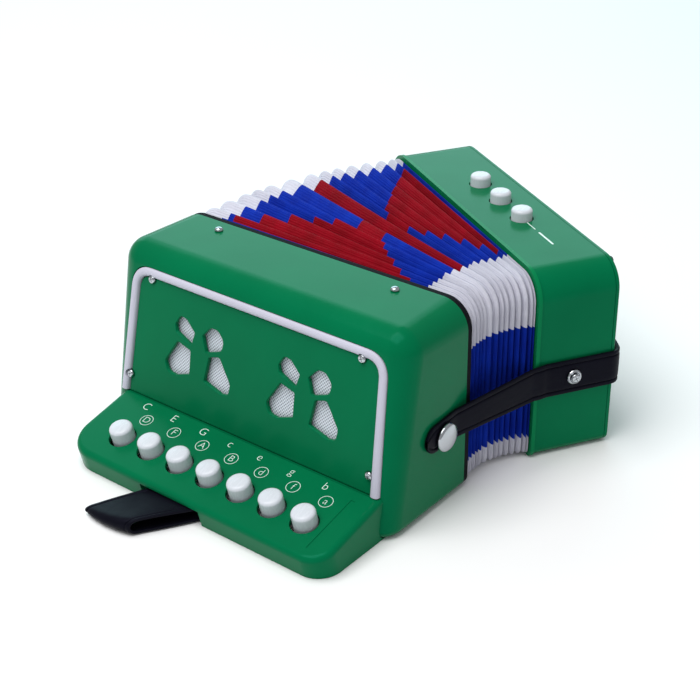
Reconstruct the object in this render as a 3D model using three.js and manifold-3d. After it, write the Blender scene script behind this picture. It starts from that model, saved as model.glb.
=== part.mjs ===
// Small toy button accordion, lying on its back with the bellows fanned open.
// Millimetres. +Z points out of the front face, +X from the treble end to the bass end,
// +Y to the side where the bellows open. The origin is the centre of the flat back of the treble casing.
import * as THREE from "three";
import { mergeVertices } from "three/addons/utils/BufferGeometryUtils.js";
import { ConvexGeometry } from "three/addons/geometries/ConvexGeometry.js";
import Module from "manifold-3d";

const wasm = await Module();
wasm.setup();

// Both casings share one cross-section: HEIGHT tall, 2 * HALF wide, big front corners.
const HEIGHT = 98.8;
const HALF = 90;
const TOP_RADIUS = 14.4;
const BOTTOM_RADIUS = 5;
const WALL = 2.6;
const GAP = 0.3;

// Treble casing: its bellows edge is at x = 0 and its end face leans out towards the back.
const TREBLE_SHIFT = 28;
const END_AT_TOP = 44.15;
const END_LEAN = 0.189;
const END_RADIUS = 12.5;
const END_WALL = 6.2;

// Grille plate and its piping, measured across (u) and by height (z) on the leaning end face.
const FOOT_Z = 22.02;
const TRIM_TOP_Z = 88.9;
const TRIM_CENTRE = 0.7;
const TRIM_HALF_TOP = 79;
const TRIM_HALF_FOOT = 82.4;
const TRIM_CORNER = 12.5;
const TRIM_WIDTH = 4.4;
const TRIM_PROUD = 1.1;
const PLATE_SUNK = 0.9;
const PLATE_THICK = 2.4;
const LEDGE_DEPTH = 3.6;
const LEDGE_WIDTH = 6;
const MOTIF_CENTRES = [-33, 33.6];
const PLATE_SCREWS = [[-65.5, 83.4], [65.5, 83.4], [-76.5, 31.1], [76.5, 31.1]];

// Button board: slopes down and out from the foot of the grille plate.
const BOARD_TILT = THREE.MathUtils.degToRad(13.23);
const BOARD_WIDTH = 45.3;
const BOARD_FAR = -79.6;
const BOARD_NEAR = 84.8;
const BOARD_CORNERS = { far: 17, near: 12 };
const BOARD_FILLET = 3;
const BOARD_WALL = 2.4;
const BUTTON_OUT = 26.6;
const BUTTON_PITCH = 19.45;
const BUTTON_MIDDLE_Y = -3.9;
const BUTTON_RADIUS = 5.85;
const BUTTON_PROUD = 7;
const BUTTON_HOLE = 6.9;
const BUTTON_HOLE_OUT = 0.6;

// Treble keys: each arm turns on one rod and lifts a pad off the reed block.
const ROD = { x: -52, z: 9, radius: 1.45, from: -74, to: 68 };
const ROD_HOLE = 1.8;
const ARM_THICK = 2;
const ARM_WIDTH = 4;
const PAD_X = -26;
const PAD_Z = 17.7;
const BLOCK = { x0: -36, x1: -14, y0: -72, y1: 66, z0: 3.2, z1: 17.4 };

// Bellows: fifteen folds fanned about a line just outside the near side.
const CLOSED_WIDTH = 41.66;
const FAN_ANGLE = THREE.MathUtils.degToRad(-30.77);
const FAN_PIVOT = new THREE.Vector2(CLOSED_WIDTH / 2, -94.85);
// Each fold's width along the far edge, relative to the others: the folds lie unevenly. Along the near
// edge each point lags behind its far end, most in the middle of the fan.
const FOLD_WIDTHS = [2, 5, 6, 5, 3, 5, 7, 5, 3, 4, 4, 4, 4, 2, 1];
const NEAR_LAG = 0.28;
const GASKET = { x0: GAP, x1: 3.6, inset: 0.2, opening: 8 };
const BASS_FRAME = { x0: -2.3, x1: -GAP, inset: 9, opening: 13.5 };
const RIDGE_INSET = 1.2;
const VALLEY_INSET = 5.6;
const BELLOWS_OPENING = 8;

// Bass casing: x = 0 at its bellows edge.
const BASS_DEPTH = 43.65;
const END_PLATE_THICK = 2.2;
const BASS_BUTTON = { x: 23.5, y: 0.6, pitch: 24.4, radius: 5.4, proud: 6, hole: 5.9 };
const VALVE_PLATE = { z0: 78, z1: 84, hole: 4.5 };
const END_SCREWS = [[-76.5, 94.5], [76.5, 94.5], [-80, 8], [80, 8]];

// Leather strap: a tail that snaps on the treble side and a hand strap round the bass end.
const STRAP_THICK = 1.8;
const STRAP_HALF_HAND = 9.1;
const STRAP_HALF_TAIL = 7;
const STRAP_Z = 43.7;
const SNAP = { x: -19.5, z: 39.6, radius: 7.2 };
const TAIL_Z = 41.2;
const STRAP_SCREW_X = 20.3;
const STRAP_SPLIT_X = 12;
const HAND_GAP = 12.4;

// ---------------------------------------------------------------- materials
function paint(color, roughness, metalness = 0) {
  return new THREE.MeshStandardMaterial({ color, roughness, metalness });
}
const GREEN = 0x0b7a55;
const WHITE = 0xf1eff0;
const BLACK = 0x141418;
const STEEL = 0xc9ccd0;
const BRASS = 0xb8924a;

// ---------------------------------------------------------------- geometry helpers
function solid(geometry, matrix) {
  const plain = geometry.clone();
  plain.deleteAttribute("normal");
  plain.deleteAttribute("uv");
  if (matrix) plain.applyMatrix4(matrix);
  const merged = mergeVertices(plain, 1e-4);
  return new wasm.Manifold(new wasm.Mesh({
    numProp: 3,
    vertProperties: new Float32Array(merged.attributes.position.array),
    triVerts: new Uint32Array(merged.index.array),
  }));
}

function geometryOf(manifold) {
  const { vertProperties, triVerts } = manifold.getMesh();
  const geometry = new THREE.BufferGeometry();
  geometry.setAttribute("position", new THREE.BufferAttribute(new Float32Array(vertProperties), 3));
  geometry.setIndex(new THREE.BufferAttribute(new Uint32Array(triVerts), 1));
  geometry.computeVertexNormals();
  return geometry;
}

function add(parent, name, shape, material) {
  const geometry = shape instanceof THREE.BufferGeometry ? shape : geometryOf(shape);
  const mesh = new THREE.Mesh(geometry, material);
  mesh.name = name;
  parent.add(mesh);
}

function basis(xAxis, yAxis, zAxis, origin) {
  const matrix = new THREE.Matrix4().makeBasis(xAxis, yAxis, zAxis);
  return matrix.setPosition(origin);
}

function vec(x, y, z) {
  return new THREE.Vector3(x, y, z);
}

function box(x0, x1, y0, y1, z0, z1) {
  const geometry = new THREE.BoxGeometry(x1 - x0, y1 - y0, z1 - z0);
  return solid(geometry.translate((x0 + x1) / 2, (y0 + y1) / 2, (z0 + z1) / 2));
}

// A round bar from one point to another.
function bar(from, to, radius, segments = 24) {
  const axis = to.clone().sub(from);
  const turn = new THREE.Quaternion().setFromUnitVectors(vec(0, 1, 0), axis.clone().normalize());
  const geometry = new THREE.CylinderGeometry(radius, radius, axis.length(), segments);
  const middle = from.clone().add(to).multiplyScalar(0.5);
  return solid(geometry, new THREE.Matrix4().compose(middle, turn, vec(1, 1, 1)));
}

// A turned shape: profile is a list of [radius, height] that starts and ends on the axis,
// stood up along `axis` from `origin`.
function turned(profile, origin, axis, segments = 28) {
  const points = profile.map(([radius, height]) => new THREE.Vector2(radius, height));
  const turn = new THREE.Quaternion().setFromUnitVectors(vec(0, 1, 0), axis);
  const geometry = new THREE.LatheGeometry(points, segments);
  return solid(geometry, new THREE.Matrix4().compose(origin, turn, vec(1, 1, 1)));
}

// A closed outline with each corner rounded by its own radius.
function roundedOutline(corners, steps = 4) {
  const points = [];
  corners.forEach(([x, y, radius], i) => {
    const here = new THREE.Vector2(x, y);
    const before = corners[(i + corners.length - 1) % corners.length];
    const after = corners[(i + 1) % corners.length];
    const back = new THREE.Vector2(before[0], before[1]).sub(here);
    const ahead = new THREE.Vector2(after[0], after[1]).sub(here);
    const half = Math.acos(back.dot(ahead) / (back.length() * ahead.length())) / 2;
    const reach = Math.min(radius / Math.tan(half), back.length() * 0.49, ahead.length() * 0.49);
    const start = here.clone().add(back.setLength(reach));
    const end = here.clone().add(ahead.setLength(reach));
    const curve = new THREE.QuadraticBezierCurve(start, here, end);
    points.push(...(radius > 0 ? curve.getPoints(steps) : [here]));
  });
  return points;
}

// The casings' cross-section in (y, z), moved in by `inset` all round.
function sectionPoints(inset, steps = 6, footSteps = 3) {
  const points = [];
  const bottom = Math.max(BOTTOM_RADIUS - inset, 0.6);
  const top = TOP_RADIUS - inset;
  const corners = [
    [1, inset + bottom, bottom, -90, footSteps],
    [1, HEIGHT - inset - top, top, 0, steps],
    [-1, HEIGHT - inset - top, top, 90, steps],
    [-1, inset + bottom, bottom, 180, footSteps],
  ];
  for (const [side, zc, radius, startAngle, count] of corners) {
    const yc = side * (HALF - inset - radius);
    for (let i = 0; i <= count; i++) {
      const angle = THREE.MathUtils.degToRad(startAngle + (90 * i) / count);
      points.push(new THREE.Vector2(yc + radius * Math.cos(angle), zc + radius * Math.sin(angle)));
    }
  }
  return points;
}

// A slab of that cross-section from x0 to x1, optionally with an opening through it.
function sectionSlab(x0, x1, inset, openingInset) {
  const shape = new THREE.Shape(sectionPoints(inset));
  if (openingInset !== undefined) shape.holes.push(new THREE.Path(sectionPoints(openingInset)));
  const geometry = new THREE.ExtrudeGeometry(shape, { depth: x1 - x0, bevelEnabled: false });
  return solid(geometry, basis(vec(0, 1, 0), vec(0, 0, 1), vec(1, 0, 0), vec(x0, 0, 0)));
}

// A band of even thickness along a path in plan, `z0` to `z1` tall.
function band(path, thickness, z0, z1) {
  const left = [];
  const right = [];
  path.forEach((point, i) => {
    const ahead = path[Math.min(i + 1, path.length - 1)];
    const behind = path[Math.max(i - 1, 0)];
    const side = ahead.clone().sub(behind).normalize();
    const normal = new THREE.Vector2(-side.y, side.x).multiplyScalar(thickness / 2);
    left.push(point.clone().add(normal));
    right.push(point.clone().sub(normal));
  });
  const shape = new THREE.Shape([...left, ...right.reverse()]);
  const geometry = new THREE.ExtrudeGeometry(shape, { depth: z1 - z0, bevelEnabled: false });
  return solid(geometry.translate(0, 0, z0));
}

// A Phillips pan-head screw: the head stands on `seat`, the shank runs back along the axis.
function crossScrew(seat, axis, headRadius, headHeight, shankRadius, shankLength) {
  const profile = [
    [0, -shankLength], [shankRadius, -shankLength], [shankRadius, 0], [headRadius, 0],
    [headRadius, headHeight * 0.5], [headRadius * 0.7, headHeight], [0, headHeight],
  ];
  const screw = turned(profile, seat, axis, 12);
  const turn = new THREE.Quaternion().setFromUnitVectors(vec(0, 0, 1), axis);
  const place = new THREE.Matrix4().compose(seat, turn, vec(1, 1, 1));
  const arm = new THREE.BoxGeometry(headRadius * 1.1, headRadius * 0.26, headHeight);
  const raised = arm.clone().translate(0, 0, headHeight * 0.95);
  const crossing = raised.clone().rotateZ(Math.PI / 2);
  return screw.subtract(solid(raised, place)).subtract(solid(crossing, place));
}

// ---------------------------------------------------------------- treble casing
const leanCos = 1 / Math.hypot(1, END_LEAN);
const leanSin = END_LEAN * leanCos;

function endX(z) {
  return -END_AT_TOP - END_LEAN * (HEIGHT - z);
}

// Convex body of the treble casing, moved in by `inset`, its end face moved in by `endInset`.
function trebleBody(inset, endInset, openX) {
  const points = sectionPoints(inset, inset > 0 ? 4 : 6).map((p) => vec(openX, p.x, p.y));
  const radius = END_RADIUS - inset;
  const ball = new THREE.SphereGeometry(radius, 16, 8).attributes.position;
  const topZ = HEIGHT - END_RADIUS;
  for (const side of [-1, 1]) {
    const y = side * (HALF - END_RADIUS);
    const topX = endX(topZ) + (radius + endInset) / leanCos;
    for (let i = 0; i < ball.count; i++) {
      points.push(new THREE.Vector3().fromBufferAttribute(ball, i).add(vec(topX, y, topZ)));
    }
    const lowX = endX(BOTTOM_RADIUS) + (radius + endInset) / leanCos;
    for (let step = 0; step <= 3; step++) {
      const angle = (step * Math.PI) / 6;
      const drop = (BOTTOM_RADIUS - inset) * Math.sin(angle);
      const ring = radius - (BOTTOM_RADIUS - inset) * (1 - Math.cos(angle));
      for (let i = 0; i < 16; i++) {
        const around = (i * Math.PI) / 8;
        points.push(vec(lowX + ring * Math.cos(around), y + ring * Math.sin(around), BOTTOM_RADIUS - drop));
      }
    }
  }
  return solid(new ConvexGeometry(points));
}

// The end face's own frame: u across, v up the slope from the foot, w out of the face.
const END_FRAME = basis(
  vec(0, -1, 0), vec(leanSin, 0, leanCos), vec(-leanCos, 0, leanSin), vec(endX(FOOT_Z), 0, FOOT_Z));
const slope = (z) => (z - FOOT_Z) / leanCos;

function onEnd(outline, w0, w1, hole) {
  const shape = new THREE.Shape(outline);
  if (hole) shape.holes.push(...hole.map((points) => new THREE.Path(points)));
  const geometry = new THREE.ExtrudeGeometry(shape, { depth: w1 - w0, bevelEnabled: false });
  return solid(geometry.translate(0, 0, w0), END_FRAME);
}

// Outline of the piping's outer edge, moved in by `inset`; the foot edge is at height `footZ`.
function plateOutline(inset, footZ) {
  const top = slope(TRIM_TOP_Z) - inset;
  const corner = Math.max(TRIM_CORNER - inset, 2);
  const atTop = TRIM_HALF_TOP - inset;
  const atFoot = TRIM_HALF_FOOT - inset;
  return roundedOutline([
    [TRIM_CENTRE - atFoot, slope(footZ), 0],
    [TRIM_CENTRE + atFoot, slope(footZ), 0],
    [TRIM_CENTRE + atTop, top, corner],
    [TRIM_CENTRE - atTop, top, corner],
  ], 8);
}

// The four openings of one motif, in (u, z) about its centre line, each corner with its radius.
const MOTIF = [
  [[-15.6, 65.5, 2], [-12.5, 70.4, 1.6], [-8.5, 69.9, 1.6], [-2.6, 64.6, 1], [-4.4, 57.8, 1.4], [-14.7, 62, 1.6]],
  [[2.6, 64.8, 1], [7.6, 70.2, 3], [12.2, 70.2, 4], [16.2, 66, 4], [15.4, 60.6, 4], [5.5, 57.2, 1]],
  [[-13.4, 57.2, 1], [-4.6, 55, 1], [-4.3, 43, 1], [-13.5, 39.8, 2], [-18.5, 40.2, 3.4], [-21, 45, 3]],
  [[7.8, 55.4, 1.4], [14.4, 57.4, 2], [22.4, 46, 2.6], [21.6, 40.4, 2.6], [17, 39.6, 2.6], [5.6, 42.6, 1]],
];

const screwSeatW = -PLATE_SUNK + 0.05;
const endPoint = (u, z, w) => vec(u, slope(z), w).applyMatrix4(END_FRAME);
const endNormal = vec(-leanCos, 0, leanSin);

const frontScrewSpots = [55, -55].map((y) => vec(-9, y, HEIGHT));

function trebleCasing() {
  let body = trebleBody(0, 0, 0).subtract(trebleBody(WALL, END_WALL, 1));
  body = body.subtract(onEnd(plateOutline(-GAP, FOOT_Z - GAP), -LEDGE_DEPTH, 6));
  body = body.subtract(onEnd(plateOutline(TRIM_WIDTH + LEDGE_WIDTH, FOOT_Z + 5), -14, 0));
  body = body.subtract(box(-66, -44, BLOCK.y0 - 2, BLOCK.y1 + 2, 4.4, 14));
  for (const [u, z] of PLATE_SCREWS) {
    body = body.subtract(bar(endPoint(u, z, 0), endPoint(u, z, -20), 1.2, 12));
  }
  for (const spot of frontScrewSpots) {
    body = body.subtract(bar(spot.clone().setZ(HEIGHT + 1), spot.clone().setZ(HEIGHT - 6), 1.3, 12));
  }
  return body.subtract(bar(vec(SNAP.x, -HALF - 1, SNAP.z), vec(SNAP.x, -HALF + 5, SNAP.z), 1.8, 16));
}

function grillePlate() {
  const holes = [];
  for (const centre of MOTIF_CENTRES) {
    for (const opening of MOTIF) {
      const corners = opening.map(([u, z, radius]) => [u + centre, slope(z), radius]);
      holes.push(roundedOutline(corners, 2));
    }
  }
  let plate = onEnd(plateOutline(TRIM_WIDTH + GAP, FOOT_Z + 0.1), -PLATE_SUNK - PLATE_THICK, -PLATE_SUNK, holes);
  for (const [u, z] of PLATE_SCREWS) {
    plate = plate.subtract(bar(endPoint(u, z, 3), endPoint(u, z, -8), 1.3, 12));
    plate = plate.subtract(bar(endPoint(u, z, 3), endPoint(u, z, -PLATE_SUNK - 0.3), 2.5, 16));
  }
  return plate;
}

function grilleTrim() {
  let trim = onEnd(plateOutline(0, FOOT_Z + 0.3), -PLATE_SUNK - PLATE_THICK, TRIM_PROUD);
  trim = trim.subtract(onEnd(plateOutline(TRIM_WIDTH, FOOT_Z - 3), -9, 9));
  for (const [u, z] of PLATE_SCREWS) {
    trim = trim.subtract(bar(endPoint(u, z, 6), endPoint(u, z, -8), 2.5, 20));
  }
  return trim;
}

function grilleCloth() {
  const back = -LEDGE_DEPTH - 0.9;
  return onEnd(plateOutline(TRIM_WIDTH + LEDGE_WIDTH + 0.5, FOOT_Z + 5.5), back, back + 0.6);
}

// ---------------------------------------------------------------- button board
const outward = vec(-Math.cos(BOARD_TILT), 0, -Math.sin(BOARD_TILT));
const boardNormal = vec(-Math.sin(BOARD_TILT), 0, Math.cos(BOARD_TILT));
const BOARD_FRAME = basis(vec(0, -1, 0), outward.clone().negate(), boardNormal, vec(endX(FOOT_Z), 0, FOOT_Z));
const boardPoint = (u, out, height) => vec(u, -out, height).applyMatrix4(BOARD_FRAME);

// Convex body of the board with its top lowered by `drop`, walls moved in by `inset`, cut at z = floor.
function boardBody(inset, drop, fillet, floor) {
  const points = [];
  const corners = [
    [BOARD_FAR + BOARD_CORNERS.far, BOARD_CORNERS.far, 180], [BOARD_NEAR - BOARD_CORNERS.near, BOARD_CORNERS.near, 90],
  ];
  const outline = (shrink) => {
    const list = [[BOARD_FAR + inset + shrink, -9], [BOARD_NEAR - inset - shrink, -9]];
    for (const [u, corner, from] of corners) {
      const radius = corner - inset - shrink;
      for (let i = 0; i <= 6; i++) {
        const angle = THREE.MathUtils.degToRad(from - (90 * i) / 6);
        list.push([u + radius * Math.cos(angle), BOARD_WIDTH - corner + radius * Math.sin(angle)]);
      }
    }
    return list;
  };
  for (let step = 0; step <= 3; step++) {
    const angle = (step * Math.PI) / 6;
    const shrink = fillet * (1 - Math.sin(angle));
    for (const [u, out] of outline(shrink)) {
      points.push(boardPoint(u, out, -drop - fillet * (1 - Math.cos(angle))));
    }
  }
  for (const [u, out] of outline(0)) {
    const top = boardPoint(u, out, 0);
    points.push(boardPoint(u, out, -(top.z - floor) / Math.cos(BOARD_TILT)));
  }
  return solid(new ConvexGeometry(points));
}

const buttonY = (i) => BUTTON_MIDDLE_Y + (3 - i) * BUTTON_PITCH;
const LOOP_BAR = { x: -95.6, z: 4.2, radius: 1.3, y0: -20, y1: 28 };

function buttonBoard() {
  let board = boardBody(0, 0, BOARD_FILLET, 0).subtract(boardBody(BOARD_WALL, BOARD_WALL, 1.2, -2));
  const ribs = [box(-99.5, -92, -20.5, -18, 0.6, 11), box(-99.5, -92, 26, 28.5, 0.6, 11)];
  const under = boardBody(0.5, 0.5, BOARD_FILLET, 0);
  for (const rib of ribs) board = board.add(rib.intersect(under));
  board = board.subtract(trebleBody(-GAP, -GAP, 4));
  board = board.subtract(onEnd(plateOutline(-GAP, FOOT_Z - GAP), -LEDGE_DEPTH, 6));
  for (let i = 0; i < 7; i++) {
    const u = -buttonY(i);
    const out = BUTTON_OUT + BUTTON_HOLE_OUT;
    board = board.subtract(bar(boardPoint(u, out, 4), boardPoint(u, out, -6), BUTTON_HOLE, 24));
  }
  board = board.subtract(box(-112, -97.5, -12, 26, -1, 8.9));
  const lineStart = boardPoint(73.6, 6, -0.6);
  const lineEnd = boardPoint(73.6, 39, -0.6);
  const groove = new THREE.BoxGeometry(1.3, lineStart.distanceTo(lineEnd), 4);
  groove.translate(73.6, -22.5, 1.4);
  board = board.subtract(solid(groove, BOARD_FRAME));
  const from = vec(LOOP_BAR.x, -30, LOOP_BAR.z);
  const to = vec(LOOP_BAR.x, 40, LOOP_BAR.z);
  return board.subtract(bar(from, to, LOOP_BAR.radius + GAP, 16));
}

function trebleButton(i) {
  const r = BUTTON_RADIUS;
  const top = BUTTON_PROUD;
  const profile = [
    [0, -5.1], [2.2, -5.1], [2.2, -3.6], [r, -3.6], [r, top - 1.3], [r - 0.4, top - 0.4], [r - 1.4, top], [0, top],
  ];
  return turned(profile, boardPoint(-buttonY(i), BUTTON_OUT, 0), boardNormal, 24);
}

// An arm in the x-z plane: the button stands on its outer end, the pad hangs under its inner end.
function keyArm(i) {
  const y = buttonY(i);
  const t = ARM_THICK / 2;
  const line = [
    [-88, ROD.z + t], [-45.4, ROD.z + t], [-38.4, PAD_Z + 1.5 + ARM_THICK], [-20, PAD_Z + 1.5 + ARM_THICK],
    [-20, PAD_Z + 1.5], [-37.4, PAD_Z + 1.5], [-44.4, ROD.z - t], [-88, ROD.z - t],
  ];
  const shape = new THREE.Shape(line.map(([x, z]) => new THREE.Vector2(x, z)).reverse());
  const geometry = new THREE.ExtrudeGeometry(shape, { depth: ARM_WIDTH, bevelEnabled: false });
  const place = basis(vec(1, 0, 0), vec(0, 0, 1), vec(0, -1, 0), vec(0, y + ARM_WIDTH / 2, 0));
  let arm = solid(geometry, place);
  arm = arm.add(bar(vec(ROD.x, y - 2.5, ROD.z), vec(ROD.x, y + 2.5, ROD.z), 3.2, 12));
  arm = arm.add(bar(vec(PAD_X, y, PAD_Z), vec(PAD_X, y, PAD_Z + 2), 4.6, 12));
  return arm.subtract(bar(vec(ROD.x, y - 6, ROD.z), vec(ROD.x, y + 6, ROD.z), ROD_HOLE, 12));
}

function reedBlock() {
  let block = box(BLOCK.x0, BLOCK.x1, BLOCK.y0, BLOCK.y1, BLOCK.z0, BLOCK.z1);
  for (const y of [BLOCK.y0, BLOCK.y1 - 2.5]) {
    block = block.add(box(-55, BLOCK.x0 + 1, y, y + 2.5, 5, 13));
  }
  for (let i = 0; i < 7; i++) {
    const y = buttonY(i);
    block = block.subtract(bar(vec(PAD_X, y, 8), vec(PAD_X, y, 20), 3.3, 10));
    block = block.subtract(box(PAD_X, -10, y - 3, y + 3, 6, 13));
  }
  return block.subtract(bar(vec(ROD.x, -80, ROD.z), vec(ROD.x, 80, ROD.z), ROD_HOLE, 12));
}

function reedPlate() {
  let plate = box(BLOCK.x1 + GAP, BLOCK.x1 + 1.5, BLOCK.y0 + 1, BLOCK.y1 - 1, 4, 16);
  for (let i = 0; i < 7; i++) {
    for (const side of [-2, 0.4]) {
      const y = buttonY(i) + side;
      plate = plate.subtract(box(BLOCK.x1 - 2, BLOCK.x1 + 4, y, y + 1.6, 6.5, 12.5));
    }
  }
  return plate;
}

// ---------------------------------------------------------------- thumb strap
// A flattened leather loop through the notch in the board's rim, leaning towards +Y as it goes out.
function thumbStrap() {
  const ring = (inset) => roundedOutline([
    [-128.8 + inset, 0.3 + inset, 4 - inset], [-91.4 - inset, 0.3 + inset, 3.4 - inset],
    [-91.4 - inset, 8 - inset, 3.4 - inset], [-128.8 + inset, 8.4 - inset, 4 - inset],
  ], 5);
  const shape = new THREE.Shape(ring(0));
  shape.holes.push(new THREE.Path(ring(1.5)));
  const geometry = new THREE.ExtrudeGeometry(shape, { depth: 30, bevelEnabled: false });
  const lean = new THREE.Matrix4().set(1, 0, 0, 0, -0.58, 1, 0, -56, 0, 0, 1, 0, 0, 0, 0, 1);
  const place = basis(vec(1, 0, 0), vec(0, 0, 1), vec(0, -1, 0), vec(0, 19.6, 0));
  return solid(geometry, lean.multiply(place));
}

// ---------------------------------------------------------------- bellows
// A point of the closed bellows at `closedX`, swung by its share of the fan angle.
function fanned(closedX, share, y, z) {
  const offset = new THREE.Vector2(closedX, y).sub(FAN_PIVOT);
  offset.rotateAround(new THREE.Vector2(0, 0), FAN_ANGLE * share).add(FAN_PIVOT);
  return vec(offset.x, offset.y, z);
}

const bellowsFrom = GASKET.x1 + GAP;
const bellowsTo = CLOSED_WIDTH - GAP;

// The section of the sleeve along its far edge: an [inset, share] pair for each valley, ridge and inner point.
function foldProfile() {
  const total = FOLD_WIDTHS.reduce((sum, width) => sum + width, 0);
  const profile = [[VALLEY_INSET, 0]];
  let passed = 0;
  for (const width of FOLD_WIDTHS) {
    profile.push([RIDGE_INSET, (passed + width / 2) / total], [VALLEY_INSET, (passed + width) / total]);
    passed += width;
  }
  for (let step = 6; step >= 0; step--) {
    profile.push([BELLOWS_OPENING, step / 6]);
  }
  profile.push(profile[0]);
  return profile;
}

const bellowsSection = (inset) => sectionPoints(inset, 3, 2);

// A pleated sleeve open at both ends: a turned ring whose every point is moved from its angle to a
// point of the cross-section, and from its height to a share of the fan.
function bellows() {
  const profile = foldProfile();
  const around = bellowsSection(0).length;
  const outline = profile.map(([inset, share]) => new THREE.Vector2(10 - inset, share));
  const ring = new THREE.LatheGeometry(outline, around);
  const position = ring.attributes.position;
  for (let i = 0; i < position.count; i++) {
    const column = Math.floor(i / profile.length) % around;
    const [inset, farShare] = profile[i % profile.length];
    const spot = bellowsSection(inset)[column];
    const nearness = (HALF - spot.x) / (2 * HALF);
    const share = farShare - NEAR_LAG * nearness * farShare * (1 - farShare);
    const closedX = THREE.MathUtils.lerp(bellowsFrom, bellowsTo, share);
    const point = fanned(closedX, share, spot.x, spot.y);
    position.setXYZ(i, point.x, point.y, point.z);
  }
  return solid(ring);
}

// ---------------------------------------------------------------- bass casing
function bassCasing() {
  const lip = sectionSlab(0, 2, -0.6).intersect(box(-1, 3, -100, 100, 0, 120));
  const tubeEnd = BASS_DEPTH - END_PLATE_THICK - GAP;
  let body = sectionSlab(0, tubeEnd, 0).add(lip);
  body = body.subtract(sectionSlab(-1, tubeEnd - 3.2, WALL));
  body = body.subtract(sectionSlab(0, BASS_DEPTH, WALL + 7));
  for (let i = 0; i < 3; i++) {
    const y = BASS_BUTTON.y + (1 - i) * BASS_BUTTON.pitch;
    body = body.subtract(bar(vec(BASS_BUTTON.x, y, 90), vec(BASS_BUTTON.x, y, 110), BASS_BUTTON.hole, 24));
  }
  for (const [y, z] of END_SCREWS) {
    body = body.subtract(bar(vec(30, y, z), vec(50, y, z), 1.2, 12));
  }
  for (const side of [-1, 1]) {
    const from = vec(STRAP_SCREW_X, side * 80, STRAP_Z);
    body = body.subtract(bar(from, from.clone().setY(side * 95), 1.5, 12));
  }
  return body;
}

function bassEndPlate() {
  const x0 = BASS_DEPTH - END_PLATE_THICK;
  const rings = [[x0, 0], [BASS_DEPTH - 1, 0], [BASS_DEPTH - 0.3, 0.35], [BASS_DEPTH, 1.1]];
  const points = [];
  for (const [x, inset] of rings) {
    points.push(...sectionPoints(inset).map((p) => vec(x, p.x, p.y)));
  }
  let plate = solid(new ConvexGeometry(points));
  for (const [y, z] of END_SCREWS) {
    plate = plate.subtract(bar(vec(30, y, z), vec(50, y, z), 1.3, 12));
  }
  return plate;
}

const bassButtonY = (i) => BASS_BUTTON.y + (1 - i) * BASS_BUTTON.pitch;

function bassButton(i) {
  const r = BASS_BUTTON.radius;
  const top = HEIGHT + BASS_BUTTON.proud;
  const profile = [
    [0, 88.3], [2.4, 88.3], [2.4, 91.5], [r, 91.5], [r, top - 1.3], [r - 0.4, top - 0.4], [r - 1.4, top], [0, top],
  ];
  return turned(profile, vec(BASS_BUTTON.x, bassButtonY(i), 0), vec(0, 0, 1), 24);
}

function bassValve(i) {
  const under = VALVE_PLATE.z0 - GAP;
  const profile = [[0, under - 2], [6.5, under - 2], [6.5, under], [1.8, under], [1.8, 88], [0, 88]];
  return turned(profile, vec(BASS_BUTTON.x, bassButtonY(i), 0), vec(0, 0, 1), 16);
}

function valvePlate() {
  const y = HALF - WALL - GAP;
  let plate = box(1, BASS_DEPTH - END_PLATE_THICK - 3.8, -y, y, VALVE_PLATE.z0, VALVE_PLATE.z1);
  for (let i = 0; i < 3; i++) {
    const from = vec(BASS_BUTTON.x, bassButtonY(i), VALVE_PLATE.z0 - 5);
    plate = plate.subtract(bar(from, from.clone().setZ(VALVE_PLATE.z1 + 5), VALVE_PLATE.hole, 20));
  }
  return plate;
}

function bassReedPlate() {
  const z0 = VALVE_PLATE.z1 + GAP;
  let plate = box(4, 15, -40, 40, z0, z0 + 1.2);
  for (let i = 0; i < 8; i++) {
    const y = -36 + i * 10;
    plate = plate.subtract(box(5.5, 13.5, y, y + 1.8, z0 - 2, z0 + 4));
  }
  return plate;
}

// ---------------------------------------------------------------- straps
// Plan path of the hand strap in the bass casing's frame: near side, round the end, far side.
function handStrapPath() {
  const faceY = HALF + GAP + STRAP_THICK / 2;
  const bow = new THREE.CubicBezierCurve(
    new THREE.Vector2(BASS_DEPTH + 2.6, -HALF + 1.5), new THREE.Vector2(BASS_DEPTH + HAND_GAP + 3.4, -HALF / 2),
    new THREE.Vector2(BASS_DEPTH + HAND_GAP + 3.4, HALF / 2), new THREE.Vector2(BASS_DEPTH + 2.6, HALF - 1.5));
  const corner = (side) => new THREE.QuadraticBezierCurve(
    new THREE.Vector2(BASS_DEPTH - 2.4, side * faceY), new THREE.Vector2(BASS_DEPTH + 1.9, side * faceY),
    new THREE.Vector2(BASS_DEPTH + 2.6, side * (HALF - 1.5)));
  return [
    new THREE.Vector2(STRAP_SPLIT_X + GAP, -faceY),
    ...corner(-1).getPoints(4),
    ...bow.getPoints(18).slice(1, -1),
    ...corner(1).getPoints(4).reverse(),
    new THREE.Vector2(STRAP_SPLIT_X, faceY),
  ];
}

function strapScrewHole(side) {
  const from = vec(STRAP_SCREW_X, side * 84, STRAP_Z);
  return bar(from, from.clone().setY(side * 99), 1.6, 12);
}

function handStrap() {
  const strap = band(handStrapPath(), STRAP_THICK, STRAP_Z - STRAP_HALF_HAND, STRAP_Z + STRAP_HALF_HAND);
  return strap.subtract(strapScrewHole(-1)).subtract(strapScrewHole(1));
}

// Where a point of the bass casing's frame lies in the treble casing's frame.
function bassToTreble(x, y) {
  const point = fanned(CLOSED_WIDTH + x, 1, y, 0);
  return new THREE.Vector2(point.x, point.y);
}

const tailEndX = SNAP.x - 14;

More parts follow.
